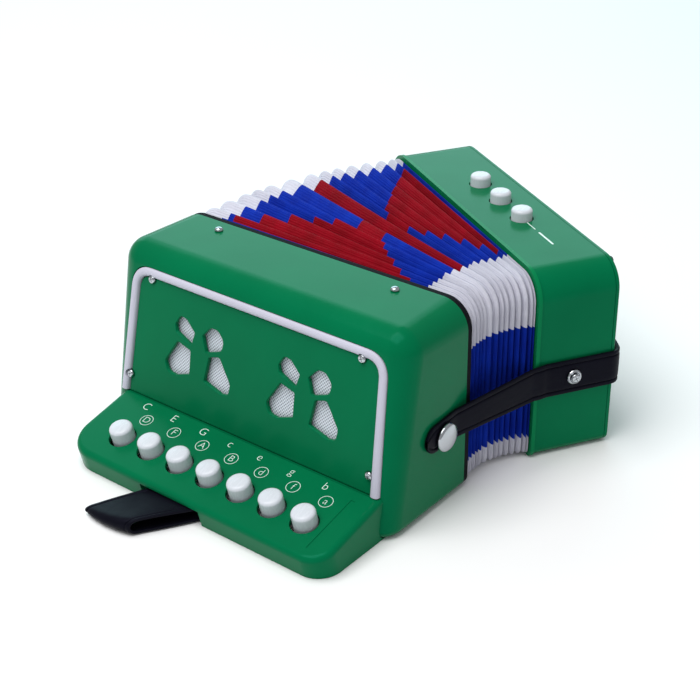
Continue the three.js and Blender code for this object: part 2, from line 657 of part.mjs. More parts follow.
function closingStrap() {
  const faceY = -HALF - GAP - STRAP_THICK / 2;
  const path = [
    new THREE.Vector2(tailEndX, faceY), new THREE.Vector2(SNAP.x, faceY), new THREE.Vector2(SNAP.x + 9, faceY),
    bassToTreble(-1.5, faceY - 1), bassToTreble(2.8, faceY - 0.8), bassToTreble(6, faceY),
    bassToTreble(STRAP_SPLIT_X, faceY),
  ];
  const z0 = STRAP_Z - STRAP_HALF_HAND;
  const z1 = STRAP_Z + STRAP_HALF_HAND;
  const end = path[path.length - 1].x + 3;
  const side = roundedOutline([
    [tailEndX - 0.1, TAIL_Z - STRAP_HALF_TAIL, 6.6], [SNAP.x + 30, STRAP_Z - STRAP_HALF_TAIL - 0.6, 0],
    [end, z0 - 0.1, 0], [end, z1 + 0.1, 0],
    [SNAP.x + 30, STRAP_Z + STRAP_HALF_TAIL + 0.6, 0], [tailEndX - 0.1, TAIL_Z + STRAP_HALF_TAIL, 6.6],
  ], 8);
  const profile = new THREE.ExtrudeGeometry(new THREE.Shape(side), { depth: 60, bevelEnabled: false });
  const across = solid(profile, basis(vec(1, 0, 0), vec(0, 0, 1), vec(0, -1, 0), vec(0, -80, 0)));
  const strap = band(path, STRAP_THICK, z0, z1).intersect(across);
  return strap.subtract(bar(vec(SNAP.x, -HALF, SNAP.z), vec(SNAP.x, -HALF - 4, SNAP.z), 2.6, 20));
}

function snapStud() {
  const profile = [[0, -4], [1.5, -4], [1.5, GAP], [2.2, GAP], [2.2, 2], [0, 2]];
  return turned(profile, vec(SNAP.x, -HALF, SNAP.z), vec(0, -1, 0), 20);
}

function snapCap() {
  const r = SNAP.radius;
  const profile = [[0, 2.7], [r - 0.3, 2.7], [r, 3.1], [r - 0.2, 3.8], [r - 1.4, 4.7], [r * 0.5, 5.3], [0, 5.5]];
  return turned(profile, vec(SNAP.x, -HALF, SNAP.z), vec(0, -1, 0), 28);
}

function cupWasher(side) {
  const profile = [[1.7, 0], [3.5, 0], [3.9, 0.5], [3.2, 1.4], [2.4, 0.9], [1.7, 0.9], [1.7, 0]];
  return turned(profile, vec(STRAP_SCREW_X, side * (HALF + STRAP_THICK + 2 * GAP), STRAP_Z), vec(0, side, 0), 20);
}

function strapScrew(side) {
  const seat = vec(STRAP_SCREW_X, side * (HALF + STRAP_THICK + 2 * GAP + 1.2), STRAP_Z);
  return crossScrew(seat, vec(0, side, 0), 2.2, 1.5, 1.1, 9);
}

// ---------------------------------------------------------------- assembly
const accordion = new THREE.Group();
const treble = new THREE.Group();
treble.position.x = TREBLE_SHIFT;
accordion.add(treble);

// The bass casing hangs on the fan's pivot line, turned by the fan angle.
const fan = new THREE.Group();
fan.position.set(FAN_PIVOT.x, FAN_PIVOT.y, 0);
fan.rotation.z = FAN_ANGLE;
treble.add(fan);
const bass = new THREE.Group();
bass.position.set(CLOSED_WIDTH - FAN_PIVOT.x, -FAN_PIVOT.y, 0);
fan.add(bass);

add(treble, "treble_casing", trebleCasing(), paint(GREEN, 0.18));
add(treble, "grille_plate", grillePlate(), paint(GREEN, 0.2));
add(treble, "grille_trim", grilleTrim(), paint(WHITE, 0.35));
add(treble, "grille_cloth", grilleCloth(), paint(0xd9dade, 0.7));
add(treble, "button_board", buttonBoard(), paint(GREEN, 0.2));
PLATE_SCREWS.forEach(([u, z], i) => {
  const screw = crossScrew(endPoint(u, z, screwSeatW), endNormal, 2.1, 1.5, 0.9, 6);
  add(treble, `plate_screw_${i + 1}`, screw, paint(STEEL, 0.25, 1));
});
frontScrewSpots.forEach((spot, i) => {
  const dome = [[0, -5], [1, -5], [1, 0.3], [2.2, 0.3], [1.9, 1.2], [1.1, 1.9], [0, 2.1]];
  add(treble, `front_screw_${i + 1}`, turned(dome, spot, vec(0, 0, 1), 20), paint(STEEL, 0.12, 1));
});
for (let i = 0; i < 7; i++) {
  add(treble, `treble_button_${i + 1}`, trebleButton(i), paint(WHITE, 0.3));
  add(treble, `key_arm_${i + 1}`, keyArm(i), paint(STEEL, 0.4, 0.8));
}
const rod = bar(vec(ROD.x, ROD.from, ROD.z), vec(ROD.x, ROD.to, ROD.z), ROD.radius, 16);
add(treble, "key_rod", rod, paint(STEEL, 0.3, 1));
add(treble, "treble_reed_block", reedBlock(), paint(0xd8cfae, 0.5));
add(treble, "treble_reed_plate", reedPlate(), paint(BRASS, 0.3, 1));
add(treble, "thumb_strap", thumbStrap(), paint(BLACK, 0.45));
const loopBar = bar(
  vec(LOOP_BAR.x, LOOP_BAR.y0, LOOP_BAR.z), vec(LOOP_BAR.x, LOOP_BAR.y1, LOOP_BAR.z), LOOP_BAR.radius, 16);
add(treble, "thumb_strap_bar", loopBar, paint(STEEL, 0.3, 1));
add(treble, "treble_gasket", sectionSlab(GASKET.x0, GASKET.x1, GASKET.inset, GASKET.opening), paint(BLACK, 0.6));
add(treble, "bellows", bellows(), paint(0x1c3fc4, 0.7));
add(treble, "closing_strap", closingStrap(), paint(BLACK, 0.4));
add(treble, "snap_stud", snapStud(), paint(STEEL, 0.25, 1));
add(treble, "snap_cap", snapCap(), paint(STEEL, 0.12, 1));

const bassFrame = sectionSlab(BASS_FRAME.x0, BASS_FRAME.x1, BASS_FRAME.inset, BASS_FRAME.opening);
add(bass, "bass_frame", bassFrame, paint(BLACK, 0.6));
add(bass, "bass_casing", bassCasing(), paint(GREEN, 0.18));
add(bass, "bass_end_plate", bassEndPlate(), paint(GREEN, 0.2));
END_SCREWS.forEach(([y, z], i) => {
  const screw = crossScrew(vec(BASS_DEPTH + 0.05, y, z), vec(1, 0, 0), 2.4, 2.2, 0.9, 6);
  add(bass, `end_screw_${i + 1}`, screw, paint(0x1a1a1c, 0.4, 0.6));
});
for (let i = 0; i < 3; i++) {
  add(bass, `bass_button_${i + 1}`, bassButton(i), paint(WHITE, 0.3));
  add(bass, `bass_valve_${i + 1}`, bassValve(i), paint(0xe6e2d8, 0.5));
}
add(bass, "bass_valve_plate", valvePlate(), paint(0xd8cfae, 0.5));
add(bass, "bass_reed_plate", bassReedPlate(), paint(BRASS, 0.3, 1));
add(bass, "hand_strap", handStrap(), paint(BLACK, 0.4));
["near", "far"].forEach((name, i) => {
  const side = i === 0 ? -1 : 1;
  add(bass, `cup_washer_${name}`, cupWasher(side), paint(STEEL, 0.2, 1));
  add(bass, `strap_screw_${name}`, strapScrew(side), paint(STEEL, 0.2, 1));
});

export default accordion;
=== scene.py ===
"""Looks of the toy button accordion: fine meshes, materials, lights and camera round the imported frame."""
from math import atan, cos, hypot, pi, radians, sin, sqrt, tan

import bmesh
import bpy
from mathutils import Matrix, Vector


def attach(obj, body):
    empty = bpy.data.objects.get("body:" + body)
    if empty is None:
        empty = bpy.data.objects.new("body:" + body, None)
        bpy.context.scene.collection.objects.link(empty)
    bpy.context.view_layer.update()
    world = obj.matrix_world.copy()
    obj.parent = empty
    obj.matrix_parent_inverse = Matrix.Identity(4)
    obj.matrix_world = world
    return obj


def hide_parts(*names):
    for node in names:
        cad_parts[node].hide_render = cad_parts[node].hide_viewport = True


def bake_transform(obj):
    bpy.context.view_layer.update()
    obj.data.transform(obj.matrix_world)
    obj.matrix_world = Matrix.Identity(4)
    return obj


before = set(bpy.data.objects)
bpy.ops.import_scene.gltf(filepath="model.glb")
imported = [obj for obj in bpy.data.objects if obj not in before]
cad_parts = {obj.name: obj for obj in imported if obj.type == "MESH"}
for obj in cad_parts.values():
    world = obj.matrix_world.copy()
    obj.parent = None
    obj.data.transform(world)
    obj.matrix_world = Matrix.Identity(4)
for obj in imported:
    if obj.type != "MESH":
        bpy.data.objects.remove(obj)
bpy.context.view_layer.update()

# ---------------- dimensions, in millimetres
HEIGHT = 98.8
HALF = 90
TOP_RADIUS = 14.4
BOTTOM_RADIUS = 5
WALL = 2.6
GAP = 0.3

END_AT_TOP = 44.15
END_LEAN = 0.189
END_RADIUS = 12.5
END_WALL = 6.2

FOOT_Z = 22.02
TRIM_TOP_Z = 88.9
TRIM_CENTRE = 0.7
TRIM_HALF_TOP = 79
TRIM_HALF_FOOT = 82.4
TRIM_CORNER = 12.5
TRIM_WIDTH = 4.4
TRIM_PROUD = 1.1
PLATE_SUNK = 0.9
PLATE_THICK = 2.4
LEDGE_DEPTH = 3.6
LEDGE_WIDTH = 6
MOTIF_CENTRES = (-33, 33.6)
PLATE_SCREWS = ((-65.5, 83.4), (65.5, 83.4), (-76.5, 31.1), (76.5, 31.1))
SCREW_NOTCH = 2.5

BOARD_TILT = radians(13.23)
BOARD_WIDTH = 45.3
BOARD_FAR = -79.6
BOARD_NEAR = 84.8
BOARD_CORNERS = ((180, 17), (90, 12))
BOARD_FILLET = 3
BOARD_WALL = 2.4
BUTTON_OUT = 26.6
BUTTON_PITCH = 19.45
BUTTON_MIDDLE_Y = -3.9
BUTTON_RADIUS = 5.85
BUTTON_PROUD = 7
BUTTON_HOLE = 6.9
BUTTON_HOLE_OUT = 0.6

CLOSED_WIDTH = 41.66
FAN_ANGLE = radians(-30.77)
FAN_PIVOT = Vector((20.83, -94.85, 0))
# Each fold's width along the far edge, relative to the others. Along the near edge each point lags
# behind its far end, most in the middle of the fan.
FOLD_WIDTHS = (2, 5, 6, 5, 3, 5, 7, 5, 3, 4, 4, 4, 4, 2, 1)
NEAR_LAG = 0.28
BELLOWS_FROM = 3.9
BELLOWS_TO = 41.36
RIDGE_INSET = 1.2
VALLEY_INSET = 7
SKIN = 0.8

BASS_DEPTH = 43.65
END_PLATE_THICK = 2.2
BASS_BUTTON_X = 23.5
BASS_BUTTON_Y = 0.6
BASS_BUTTON_PITCH = 24.4
BASS_BUTTON_RADIUS = 5.4
BASS_BUTTON_PROUD = 6
BASS_BUTTON_HOLE = 5.9
END_SCREWS = ((-76.5, 94.5), (76.5, 94.5), (-80, 8), (80, 8))

STRAP_THICK = 1.8
STRAP_HALF_HAND = 9.1
STRAP_HALF_TAIL = 7
STRAP_Z = 43.7
SNAP_X = -19.5
SNAP_Z = 39.6
TAIL_Z = 41.2
SNAP_RADIUS = 7.2
STRAP_SCREW_X = 20.3
STRAP_SPLIT_X = 12
HAND_GAP = 12.4
BAND_THICK = STRAP_THICK * 0.86
TIP_PAST_SNAP = 13.8
TIP_LENGTH = 7

THUMB_HALF = 15
THUMB_THICK = 1.45
THUMB_CASING_X = -92
THUMB_FOLD_X = -124.5
THUMB_LEAN = 0.58
THUMB_FLOOR = 0.55

CAMERA_AT = Vector((-0.45851, -0.414117, 0.396842))
CAMERA_YAW = radians(38.949)
CAMERA_PITCH = radians(-28.84)
CAMERA_ROLL = radians(-0.719)
CAMERA_LENS = 74.97

# Two frames: the treble casing's, and the bass casing's hung on the fan's pivot line.
MM = Matrix.Diagonal((0.001, 0.001, 0.001, 1))
TREBLE = MM @ Matrix.Translation((28, 0, 0))
BASS = (
    TREBLE
    @ Matrix.Translation(FAN_PIVOT)
    @ Matrix.Rotation(FAN_ANGLE, 4, "Z")
    @ Matrix.Translation((CLOSED_WIDTH - FAN_PIVOT.x, -FAN_PIVOT.y, 0))
)


def frame_of(x_axis, y_axis, z_axis, origin):
    rows = Matrix((x_axis, y_axis, z_axis)).transposed().to_4x4()
    rows.translation = origin
    return rows


lean = atan(END_LEAN)


def end_x(z):
    return -END_AT_TOP - END_LEAN * (HEIGHT - z)


def slope(z):
    return (z - FOOT_Z) / cos(lean)


END_FRAME = TREBLE @ frame_of(
    Vector((0, -1, 0)),
    Vector((sin(lean), 0, cos(lean))),
    Vector((-cos(lean), 0, sin(lean))),
    Vector((end_x(FOOT_Z), 0, FOOT_Z)),
)
BOARD_FRAME = TREBLE @ frame_of(
    Vector((0, -1, 0)),
    Vector((cos(BOARD_TILT), 0, sin(BOARD_TILT))),
    Vector((-sin(BOARD_TILT), 0, cos(BOARD_TILT))),
    Vector((end_x(FOOT_Z), 0, FOOT_Z)),
)
TO_TREBLE = TREBLE.inverted()


# ---------------- materials
class Shader:
    """A Principled material with short calls for its nodes."""

    def __init__(self, name, colour, roughness, metallic=0.0, **values):
        self.material = bpy.data.materials.new(name)
        self.material.use_nodes = True
        self.tree = self.material.node_tree
        self.shader = self.tree.nodes["Principled BSDF"]
        self.put("Base Color", (*colour, 1))
        self.put("Roughness", roughness)
        self.put("Metallic", metallic)
        for key, value in values.items():
            self.put(key.replace("_", " "), value)
        self.normal = None

    def put(self, socket, value):
        self.shader.inputs[socket].default_value = value

    def node(self, kind, **values):
        node = self.tree.nodes.new(kind)
        for key, value in values.items():
            if hasattr(node, key):
                setattr(node, key, value)
            else:
                node.inputs[key.replace("_", " ")].default_value = value
        return node

    def link(self, source, target):
        self.tree.links.new(source, target)

    def place(self, coordinates, stretch=(1, 1, 1), turn=0.0):
        """Texture coordinates, stretched, so that one unit is a metre unless UV is used."""
        source = self.node("ShaderNodeTexCoord")
        mapping = self.node("ShaderNodeMapping")
        mapping.inputs["Scale"].default_value = stretch
        mapping.inputs["Rotation"].default_value = (0, 0, turn)
        self.link(source.outputs[coordinates], mapping.inputs["Vector"])
        return mapping.outputs["Vector"]

    def noise(self, vector, scale, detail=3.0, roughness=0.5):
        node = self.node("ShaderNodeTexNoise", Scale=scale, Detail=detail, Roughness=roughness)
        self.link(vector, node.inputs["Vector"])
        return node.outputs["Fac"]

    def cells(self, vector, scale):
        node = self.node("ShaderNodeTexVoronoi", feature="DISTANCE_TO_EDGE", Scale=scale)
        self.link(vector, node.inputs["Vector"])
        return node.outputs["Distance"]

    def wave(self, vector, scale, direction, distortion=0.0):
        node = self.node("ShaderNodeTexWave", bands_direction=direction, Scale=scale, Distortion=distortion)
        self.link(vector, node.inputs["Vector"])
        return node.outputs["Fac"]

    def spread(self, value, low, high, to_low=0.0, to_high=1.0):
        node = self.node("ShaderNodeMapRange")
        for socket, number in zip(("From Min", "From Max", "To Min", "To Max"), (low, high, to_low, to_high)):
            node.inputs[socket].default_value = number
        self.link(value, node.inputs["Value"])
        return node.outputs["Result"]

    def mix(self, factor, first, second):
        node = self.node("ShaderNodeMix", data_type="RGBA")
        self.link(factor, node.inputs["Factor"])
        for socket, colour in ((node.inputs["A"], first), (node.inputs["B"], second)):
            if isinstance(colour, tuple):
                socket.default_value = (*colour, 1)
            else:
                self.link(colour, socket)
        return node.outputs["Result"]

    def bump(self, height, strength, distance):
        """Adds a height to the normal; later bumps lie on earlier ones. distance is in metres."""
        node = self.node("ShaderNodeBump", Strength=strength, Distance=distance)
        self.link(height, node.inputs["Height"])
        if self.normal:
            self.link(self.normal, node.inputs["Normal"])
        self.normal = node.outputs["Normal"]
        self.link(self.normal, self.shader.inputs["Normal"])

    def drive(self, socket, value):
        self.link(value, self.shader.inputs[socket])


def plastic(name, colour, roughness, specular=0.5, mottle=0.04, **values):
    """Moulded plastic: a faint unevenness, a few fine scuffs and a skin of dust-fine grain."""
    look = Shader(name, colour, roughness, Specular_IOR_Level=specular, **values)
    where = look.place("Object")
    clouds = look.noise(where, 22, 4)
    darker = tuple(channel * (1 - mottle * 2.5) for channel in colour)
    look.drive("Base Color", look.mix(look.spread(clouds, 0.35, 0.65), darker, colour))
    scuffs = look.noise(look.place("Object", (1, 5, 1), 0.6), 160, 6, 0.7)
    look.drive("Roughness", look.spread(scuffs, 0.3, 0.75, roughness * 0.8, roughness * 1.5))
    look.bump(look.noise(where, 45, 2), 0.12, 0.0006)
    look.bump(look.noise(where, 1400, 2), 0.05, 0.00004)
    return look.material


def leather(name):
    """Smooth black imitation leather with a fine pebble, wrinkles and a worn sheen."""
    sheen = (0.5, 0.5, 0.8, 1)
    look = Shader(name, (0.002, 0.002, 0.005), 0.45, Specular_IOR_Level=0.07, Specular_Tint=sheen)
    where = look.place("Object")
    patches = look.noise(where, 60, 5)
    look.drive("Base Color", look.mix(patches, (0.002, 0.002, 0.004), (0.006, 0.006, 0.011)))
    look.drive("Roughness", look.spread(patches, 0.3, 0.7, 0.36, 0.55))
    look.bump(look.noise(look.place("Object", (1, 1, 2.5)), 120, 3), 0.35, 0.0005)
    look.bump(look.cells(where, 1300), 0.3, 0.00012)
    return look.material


def fold_cloth(name, colour, shade):
    """Cloth-faced card: a fine weave on the folds' own lengthwise coordinates."""
    look = Shader(name, colour, 0.7, Specular_IOR_Level=0.08)
    along = look.place("UV")
    cloudy = look.noise(look.place("Object"), 90, 4)
    look.drive("Base Color", look.mix(look.spread(cloudy, 0.3, 0.7), shade, colour))
    look.bump(look.wave(along, 5, "X", 1.5), 0.6, 0.00022)
    look.bump(look.wave(along, 5, "Y", 1.5), 0.6, 0.00022)
    look.bump(look.noise(look.place("Object"), 420, 4), 0.5, 0.0005)
    return look.material


def grille_mesh(name):
    """Silver-white woven mesh: pale threads over holes painted dark, a painted shade of the casing's inside
    seen through the weave.
    """
    look = Shader(name, (0.7, 0.72, 0.76), 0.4, Specular_IOR_Level=0.5)
    along = look.place("UV", (1, 1, 1), radians(45))
    threads = look.wave(along, 2.6, "X", 0.8)
    crossing = look.wave(along, 2.6, "Y", 0.8)
    joined = look.node("ShaderNodeMath", operation="MULTIPLY")
    look.link(threads, joined.inputs[0])
    look.link(crossing, joined.inputs[1])
    # The holes' dark colour is painted shade: the shaded inside of the casing behind the weave, painted onto
    # the opaque sheet.
    holes = look.spread(joined.outputs[0], 0.08, 0.7)
    look.drive("Base Color", look.mix(holes, (0.74, 0.78, 0.85), (0.14, 0.16, 0.22)))
    look.bump(joined.outputs[0], -0.8, 0.0005)
    return look.material


def metal(name, colour, roughness, scratches=0.1):
    look = Shader(name, colour, roughness, 1.0)
    where = look.place("Object", (1, 1, 6))
    scuffs = look.noise(where, 400, 5, 0.7)
    look.drive("Roughness", look.spread(scuffs, 0.3, 0.7, roughness * 0.7, roughness * 1.6))
    look.bump(scuffs, scratches, 0.00005)
    return look.material


def wood(name):
    look = Shader(name, (0.5, 0.36, 0.2), 0.55)
    along = look.place("Object", (12, 1, 12))
    grain = look.noise(along, 30, 6, 0.6)
    look.drive("Base Color", look.mix(grain, (0.36, 0.23, 0.11), (0.62, 0.47, 0.28)))
    look.bump(grain, 0.3, 0.0003)
    return look.material


def rubber(name):
    look = Shader(name, (0.004, 0.004, 0.006), 0.7, Specular_IOR_Level=0.08)
    grain = look.noise(look.place("Object"), 900, 3)
    look.drive("Base Color", look.mix(grain, (0.002, 0.002, 0.004), (0.008, 0.008, 0.011)))
    look.bump(grain, 0.5, 0.0002)
    return look.material


def print_ink(name):
    look = Shader(name, (0.72, 0.86, 0.8), 0.5)
    patchy = look.noise(look.place("Object"), 1500, 3)
    look.drive("Base Color", look.mix(patchy, (0.6, 0.78, 0.7), (0.8, 0.92, 0.87)))
    return look.material


GREEN_SHEEN = (0.12, 0.9, 0.75, 1)
GREEN = plastic("green_plastic", (0.001, 0.15, 0.056), 0.17, 0.1, Specular_Tint=GREEN_SHEEN)
# A lighter copy of the casing green for the bass casing's lip: a painted highlight along that edge.
GREEN_LIP_PAINTED_HIGHLIGHT = plastic("green_lip_painted_highlight", (0.003, 0.19, 0.065), 0.22, 0.1, Specular_Tint=GREEN_SHEEN)
WHITE = plastic("white_plastic", (0.64, 0.67, 0.72), 0.24, 0.4, 0.01)
PIPING = plastic("white_piping", (0.55, 0.54, 0.64), 0.42, 0.3, 0.03)
MESH = grille_mesh("grille_mesh")
LEATHER = leather("black_leather")
BLUE_CLOTH = fold_cloth("blue_cloth", (0.003, 0.03, 0.4), (0.002, 0.018, 0.29))
RED_CLOTH = fold_cloth("red_cloth", (0.3, 0.001, 0.01), (0.21, 0.001, 0.006))
WHITE_CLOTH = fold_cloth("white_cloth", (0.68, 0.675, 0.76), (0.6, 0.595, 0.68))
CHROME = metal("polished_chrome", (0.47, 0.49, 0.52), 0.14)
STEEL = metal("steel", (0.55, 0.55, 0.57), 0.32, 0.2)
BLACK_SCREW = metal("black_screw", (0.03, 0.03, 0.033), 0.35, 0.2)
BRASS = metal("reed_brass", (0.72, 0.5, 0.2), 0.28, 0.2)
WOOD = wood("reed_wood")
RUBBER = rubber("black_gasket")
INK = print_ink("white_print")


# ---------------- mesh helpers
def into_scene(name, data):
    """A new object of the scene that holds the data."""
    thing = bpy.data.objects.new(name, data)
    bpy.context.scene.collection.objects.link(thing)
    return thing


def mesh_object(name, bm, place=None):
    bmesh.ops.recalc_face_normals(bm, faces=bm.faces)
    mesh = bpy.data.meshes.new(name)
    bm.to_mesh(mesh)
    bm.free()
    if place:
        mesh.transform(place)
    return into_scene(name, mesh)


def from_lists(points, faces):
    bm = bmesh.new()
    verts = [bm.verts.new(point) for point in points]
    for face in faces:
        bm.faces.new([verts[index] for index in face])
    return bm


def hull(points):
    bm = bmesh.new()
    for point in points:
        bm.verts.new(point)
    made = bmesh.ops.convex_hull(bm, input=bm.verts)
    inside = [item for item in made["geom_interior"] if isinstance(item, bmesh.types.BMVert)]
    bmesh.ops.delete(bm, geom=inside, context="VERTS")
    flat = radians(0.4)
    bmesh.ops.dissolve_limit(bm, angle_limit=flat, verts=bm.verts, edges=bm.edges)
    return bm


def sweep(rings, closed=False):
    """Joins equal closed rings of points in turn: back to the first if closed, otherwise capped."""
    count = len(rings[0])
    points = [point for ring in rings for point in ring]
    faces = [] if closed else [list(range(count)), list(range(len(points) - count, len(points)))]
    for here in range(len(rings) if closed else len(rings) - 1):
        low = here * count
        high = (here + 1) % len(rings) * count
        for i in range(count):
            j = (i + 1) % count
            faces.append([low + i, low + j, high + j, high + i])
    return from_lists(points, faces)


def prism(outline, low, high):
    """A closed outline pushed from height low to height high."""
    return sweep([[(x, y, z) for x, y in outline] for z in (low, high)])


def lathe(profile, segments=64):
    """Turns a list of (radius, height) that starts and ends on the axis."""
    points = []
    rings = []
    for radius, height in profile:
        if radius < 1e-6:
            rings.append([len(points)])
            points.append((0, 0, height))
            continue
        rings.append(list(range(len(points), len(points) + segments)))
        for i in range(segments):
            angle = 2 * pi * i / segments
            points.append((radius * cos(angle), radius * sin(angle), height))
    faces = []
    for low, high in zip(rings, rings[1:]):
        for i in range(segments):
            j = (i + 1) % segments
            if len(low) == 1:
                faces.append([low[0], high[i], high[j]])
            elif len(high) == 1:
                faces.append([low[i], low[j], high[0]])
            else:
                faces.append([low[i], low[j], high[j], high[i]])
    return from_lists(points, faces)


def ring_lathe(profile, segments=64):
    """Turns a closed profile that stays off the axis."""
    rings = []
    for i in range(segments):
        angle = 2 * pi * i / segments
        x, y = cos(angle), sin(angle)
        rings.append([(radius * x, radius * y, height) for radius, height in profile])
    return sweep(rings, closed=True)


def from_curve(name, curve, merge, place):
    """The mesh of a flat curve or a text, with points nearer than merge joined."""
    holder = into_scene(name + "_curve", curve)
    bpy.context.view_layer.update()
    mesh = bpy.data.meshes.new_from_object(holder.evaluated_get(bpy.context.evaluated_depsgraph_get()))
    bpy.data.objects.remove(holder)
    bm = bmesh.new()
    bm.from_mesh(mesh)
    bmesh.ops.remove_doubles(bm, verts=bm.verts, dist=merge)
    return mesh_object(name, bm, place)


def boolean(piece, cutters, operation="DIFFERENCE"):
    for cutter in cutters:
        change = piece.modifiers.new("cut", "BOOLEAN")
        change.operation = operation
        change.solver = "MANIFOLD"
        change.object = cutter
    settle(piece)
    for cutter in cutters:
        bpy.data.objects.remove(cutter)
    return piece


def settle(piece):
    """Makes the result of a piece's modifiers its mesh."""
    bpy.context.view_layer.update()
    graph = bpy.context.evaluated_depsgraph_get()
    result = piece.evaluated_get(graph)
    mesh = bpy.data.meshes.new_from_object(result, preserve_all_data_layers=True, depsgraph=graph)
    piece.modifiers.clear()
    piece.data = mesh
    return piece


def smooth(piece, angle=32, weighted=True):
    piece.data.shade_smooth()
    piece.data.set_sharp_from_angle(angle=radians(angle))
    if weighted:
        even = piece.modifiers.new("even", "WEIGHTED_NORMAL")
        even.keep_sharp = True
        even.weight = 80


def dress(piece, body, material, slot, *nodes, angle=32, weighted=True):
    """Gives a finished piece its material and its body, and hides the nodes that it stands for; slot is not
    used.
    """
    piece.data.materials.clear()
    piece.data.materials.append(material)
    smooth(piece, angle, weighted)
    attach(piece, body)
    if nodes:
        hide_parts(*nodes)
    return piece


def axis_frame(origin, axis):
    turn = Vector((0, 0, 1)).rotation_difference(Vector(axis)).to_matrix().to_4x4()
    return Matrix.Translation(origin) @ turn


def rod(name, place, start, end, radius, segments=48):
    start, end = Vector(start), Vector(end)
    length = (end - start).length
    profile = [(0, 0), (radius, 0), (radius, length), (0, length)]
    return mesh_object(name, lathe(profile, segments), place @ axis_frame(start, end - start))


def block(name, place, low, high):
    outline = [(low[0], low[1]), (high[0], low[1]), (high[0], high[1]), (low[0], high[1])]
    return mesh_object(name, prism(outline, low[2], high[2]), place)


def rounded(corners, steps=6):
    """A closed outline from (x, y, radius) corners."""
    points = []
    for i, (x, y, radius) in enumerate(corners):
        here = Vector((x, y))
        back = Vector(corners[i - 1][:2]) - here
        ahead = Vector(corners[(i + 1) % len(corners)][:2]) - here
        if radius <= 0:
            points.append(tuple(here))
            continue
        half = back.angle(ahead) / 2
        reach = min(radius / tan(half), back.length * 0.49, ahead.length * 0.49)
        start = here + back.normalized() * reach
        end = here + ahead.normalized() * reach
        for step in range(steps + 1):
            t = step / steps
            point = start * (1 - t) ** 2 + here * 2 * t * (1 - t) + end * t * t
            points.append(tuple(point))
    return points


def section(inset, steps=16, straight=1, foot_steps=6):
    """The casings' cross-section in (y, z), with each long edge in `straight` parts."""
    bottom = max(BOTTOM_RADIUS - inset, 0.6)
    top = TOP_RADIUS - inset
    corners = (
        (1, inset + bottom, bottom, -90, foot_steps),
        (1, HEIGHT - inset - top, top, 0, steps),
        (-1, HEIGHT - inset - top, top, 90, steps),
        (-1, inset + bottom, bottom, 180, foot_steps),
    )
    arcs = []
    for side, z, radius, start, count in corners:
        y = side * (HALF - inset - radius)
        turns = [radians(start + 90 * i / count) for i in range(count + 1)]
        arcs.append([(y + radius * cos(turn), z + radius * sin(turn)) for turn in turns])
    points = []
    for arc, after in zip(arcs, arcs[1:] + arcs[:1]):
        points.extend(arc)
        (y0, z0), (y1, z1) = arc[-1], after[0]
        for step in range(1, straight):
            t = step / straight
            points.append((y0 + (y1 - y0) * t, z0 + (z1 - z0) * t))
    return points


def slab(name, place, x0, x1, inset):
    """The casings' cross-section pushed from x0 to x1."""
    return mesh_object(name, sweep([[(x, y, z) for y, z in section(inset)] for x in (x0, x1)]), place)


# ---------------- treble casing
def level_circle(x, y, z, radius):
    turns = [2 * pi * i / 48 for i in range(48)]
    return [(x + radius * cos(turn), y + radius * sin(turn), z) for turn in turns]


def treble_body(name, inset, end_inset, open_x):
    """The treble casing's outer shape, or a smaller one inside it, as one convex block."""
    points = [(open_x, y, z) for y, z in section(inset)]
    radius = END_RADIUS - inset
    foot = BOTTOM_RADIUS - inset
    top_z = HEIGHT - END_RADIUS
    top_x = end_x(top_z) + (radius + end_inset) / cos(lean)
    low_x = end_x(BOTTOM_RADIUS) + (radius + end_inset) / cos(lean)
    for side in (-1, 1):
        y = side * (HALF - END_RADIUS)
        for row in range(13):
            tilt = pi * row / 24
            points += level_circle(top_x, y, top_z + radius * sin(tilt), radius * cos(tilt))
        for row in range(7):
            tilt = pi * row / 12
            ring = radius - foot * (1 - cos(tilt))
            points += level_circle(low_x, y, BOTTOM_RADIUS - foot * sin(tilt), ring)
    return mesh_object(name, hull(points), TREBLE)


def plate_outline(inset, foot_z, steps=12):
    """The grille plate's outline on the sloping end, as (across, up the slope)."""
    top = slope(TRIM_TOP_Z) - inset
    corner = max(TRIM_CORNER - inset, 2)
    at_top = TRIM_HALF_TOP - inset
    at_foot = TRIM_HALF_FOOT - inset
    return rounded([
        (TRIM_CENTRE - at_foot, slope(foot_z), 0),
        (TRIM_CENTRE + at_foot, slope(foot_z), 0),
        (TRIM_CENTRE + at_top, top, corner),
        (TRIM_CENTRE - at_top, top, corner),
    ], steps)


def plate_prism(name, inset, foot_z, low, high):
    return mesh_object(name, prism(plate_outline(inset, foot_z), low, high), END_FRAME)


def build_treble_casing():
    casing = treble_body("treble_shell", 0, 0, 0)
    cutters = [
        treble_body("inner", WALL, END_WALL, 1),
        plate_prism("recess", -GAP, FOOT_Z - GAP, -LEDGE_DEPTH, 6),
        plate_prism("window", TRIM_WIDTH + LEDGE_WIDTH, FOOT_Z + 5, -14, 0),
        block("key_slot", TREBLE, (-66, -74, 4.4), (-44, 68, 14)),
        rod("snap_hole", TREBLE, (SNAP_X, -91, SNAP_Z), (SNAP_X, -85, SNAP_Z), 1.8),
    ]
    for y in (-55, 55):
        cutters.append(rod("front_hole", TREBLE, (-9, y, 92), (-9, y, 100), 1.3))
    for u, z in PLATE_SCREWS:
        cutters.append(rod("plate_hole", END_FRAME, (u, slope(z), -20), (u, slope(z), 0), 1.2))
    boolean(casing, cutters)
    dress(casing, "treble", GREEN, "green_shell", "treble_casing")


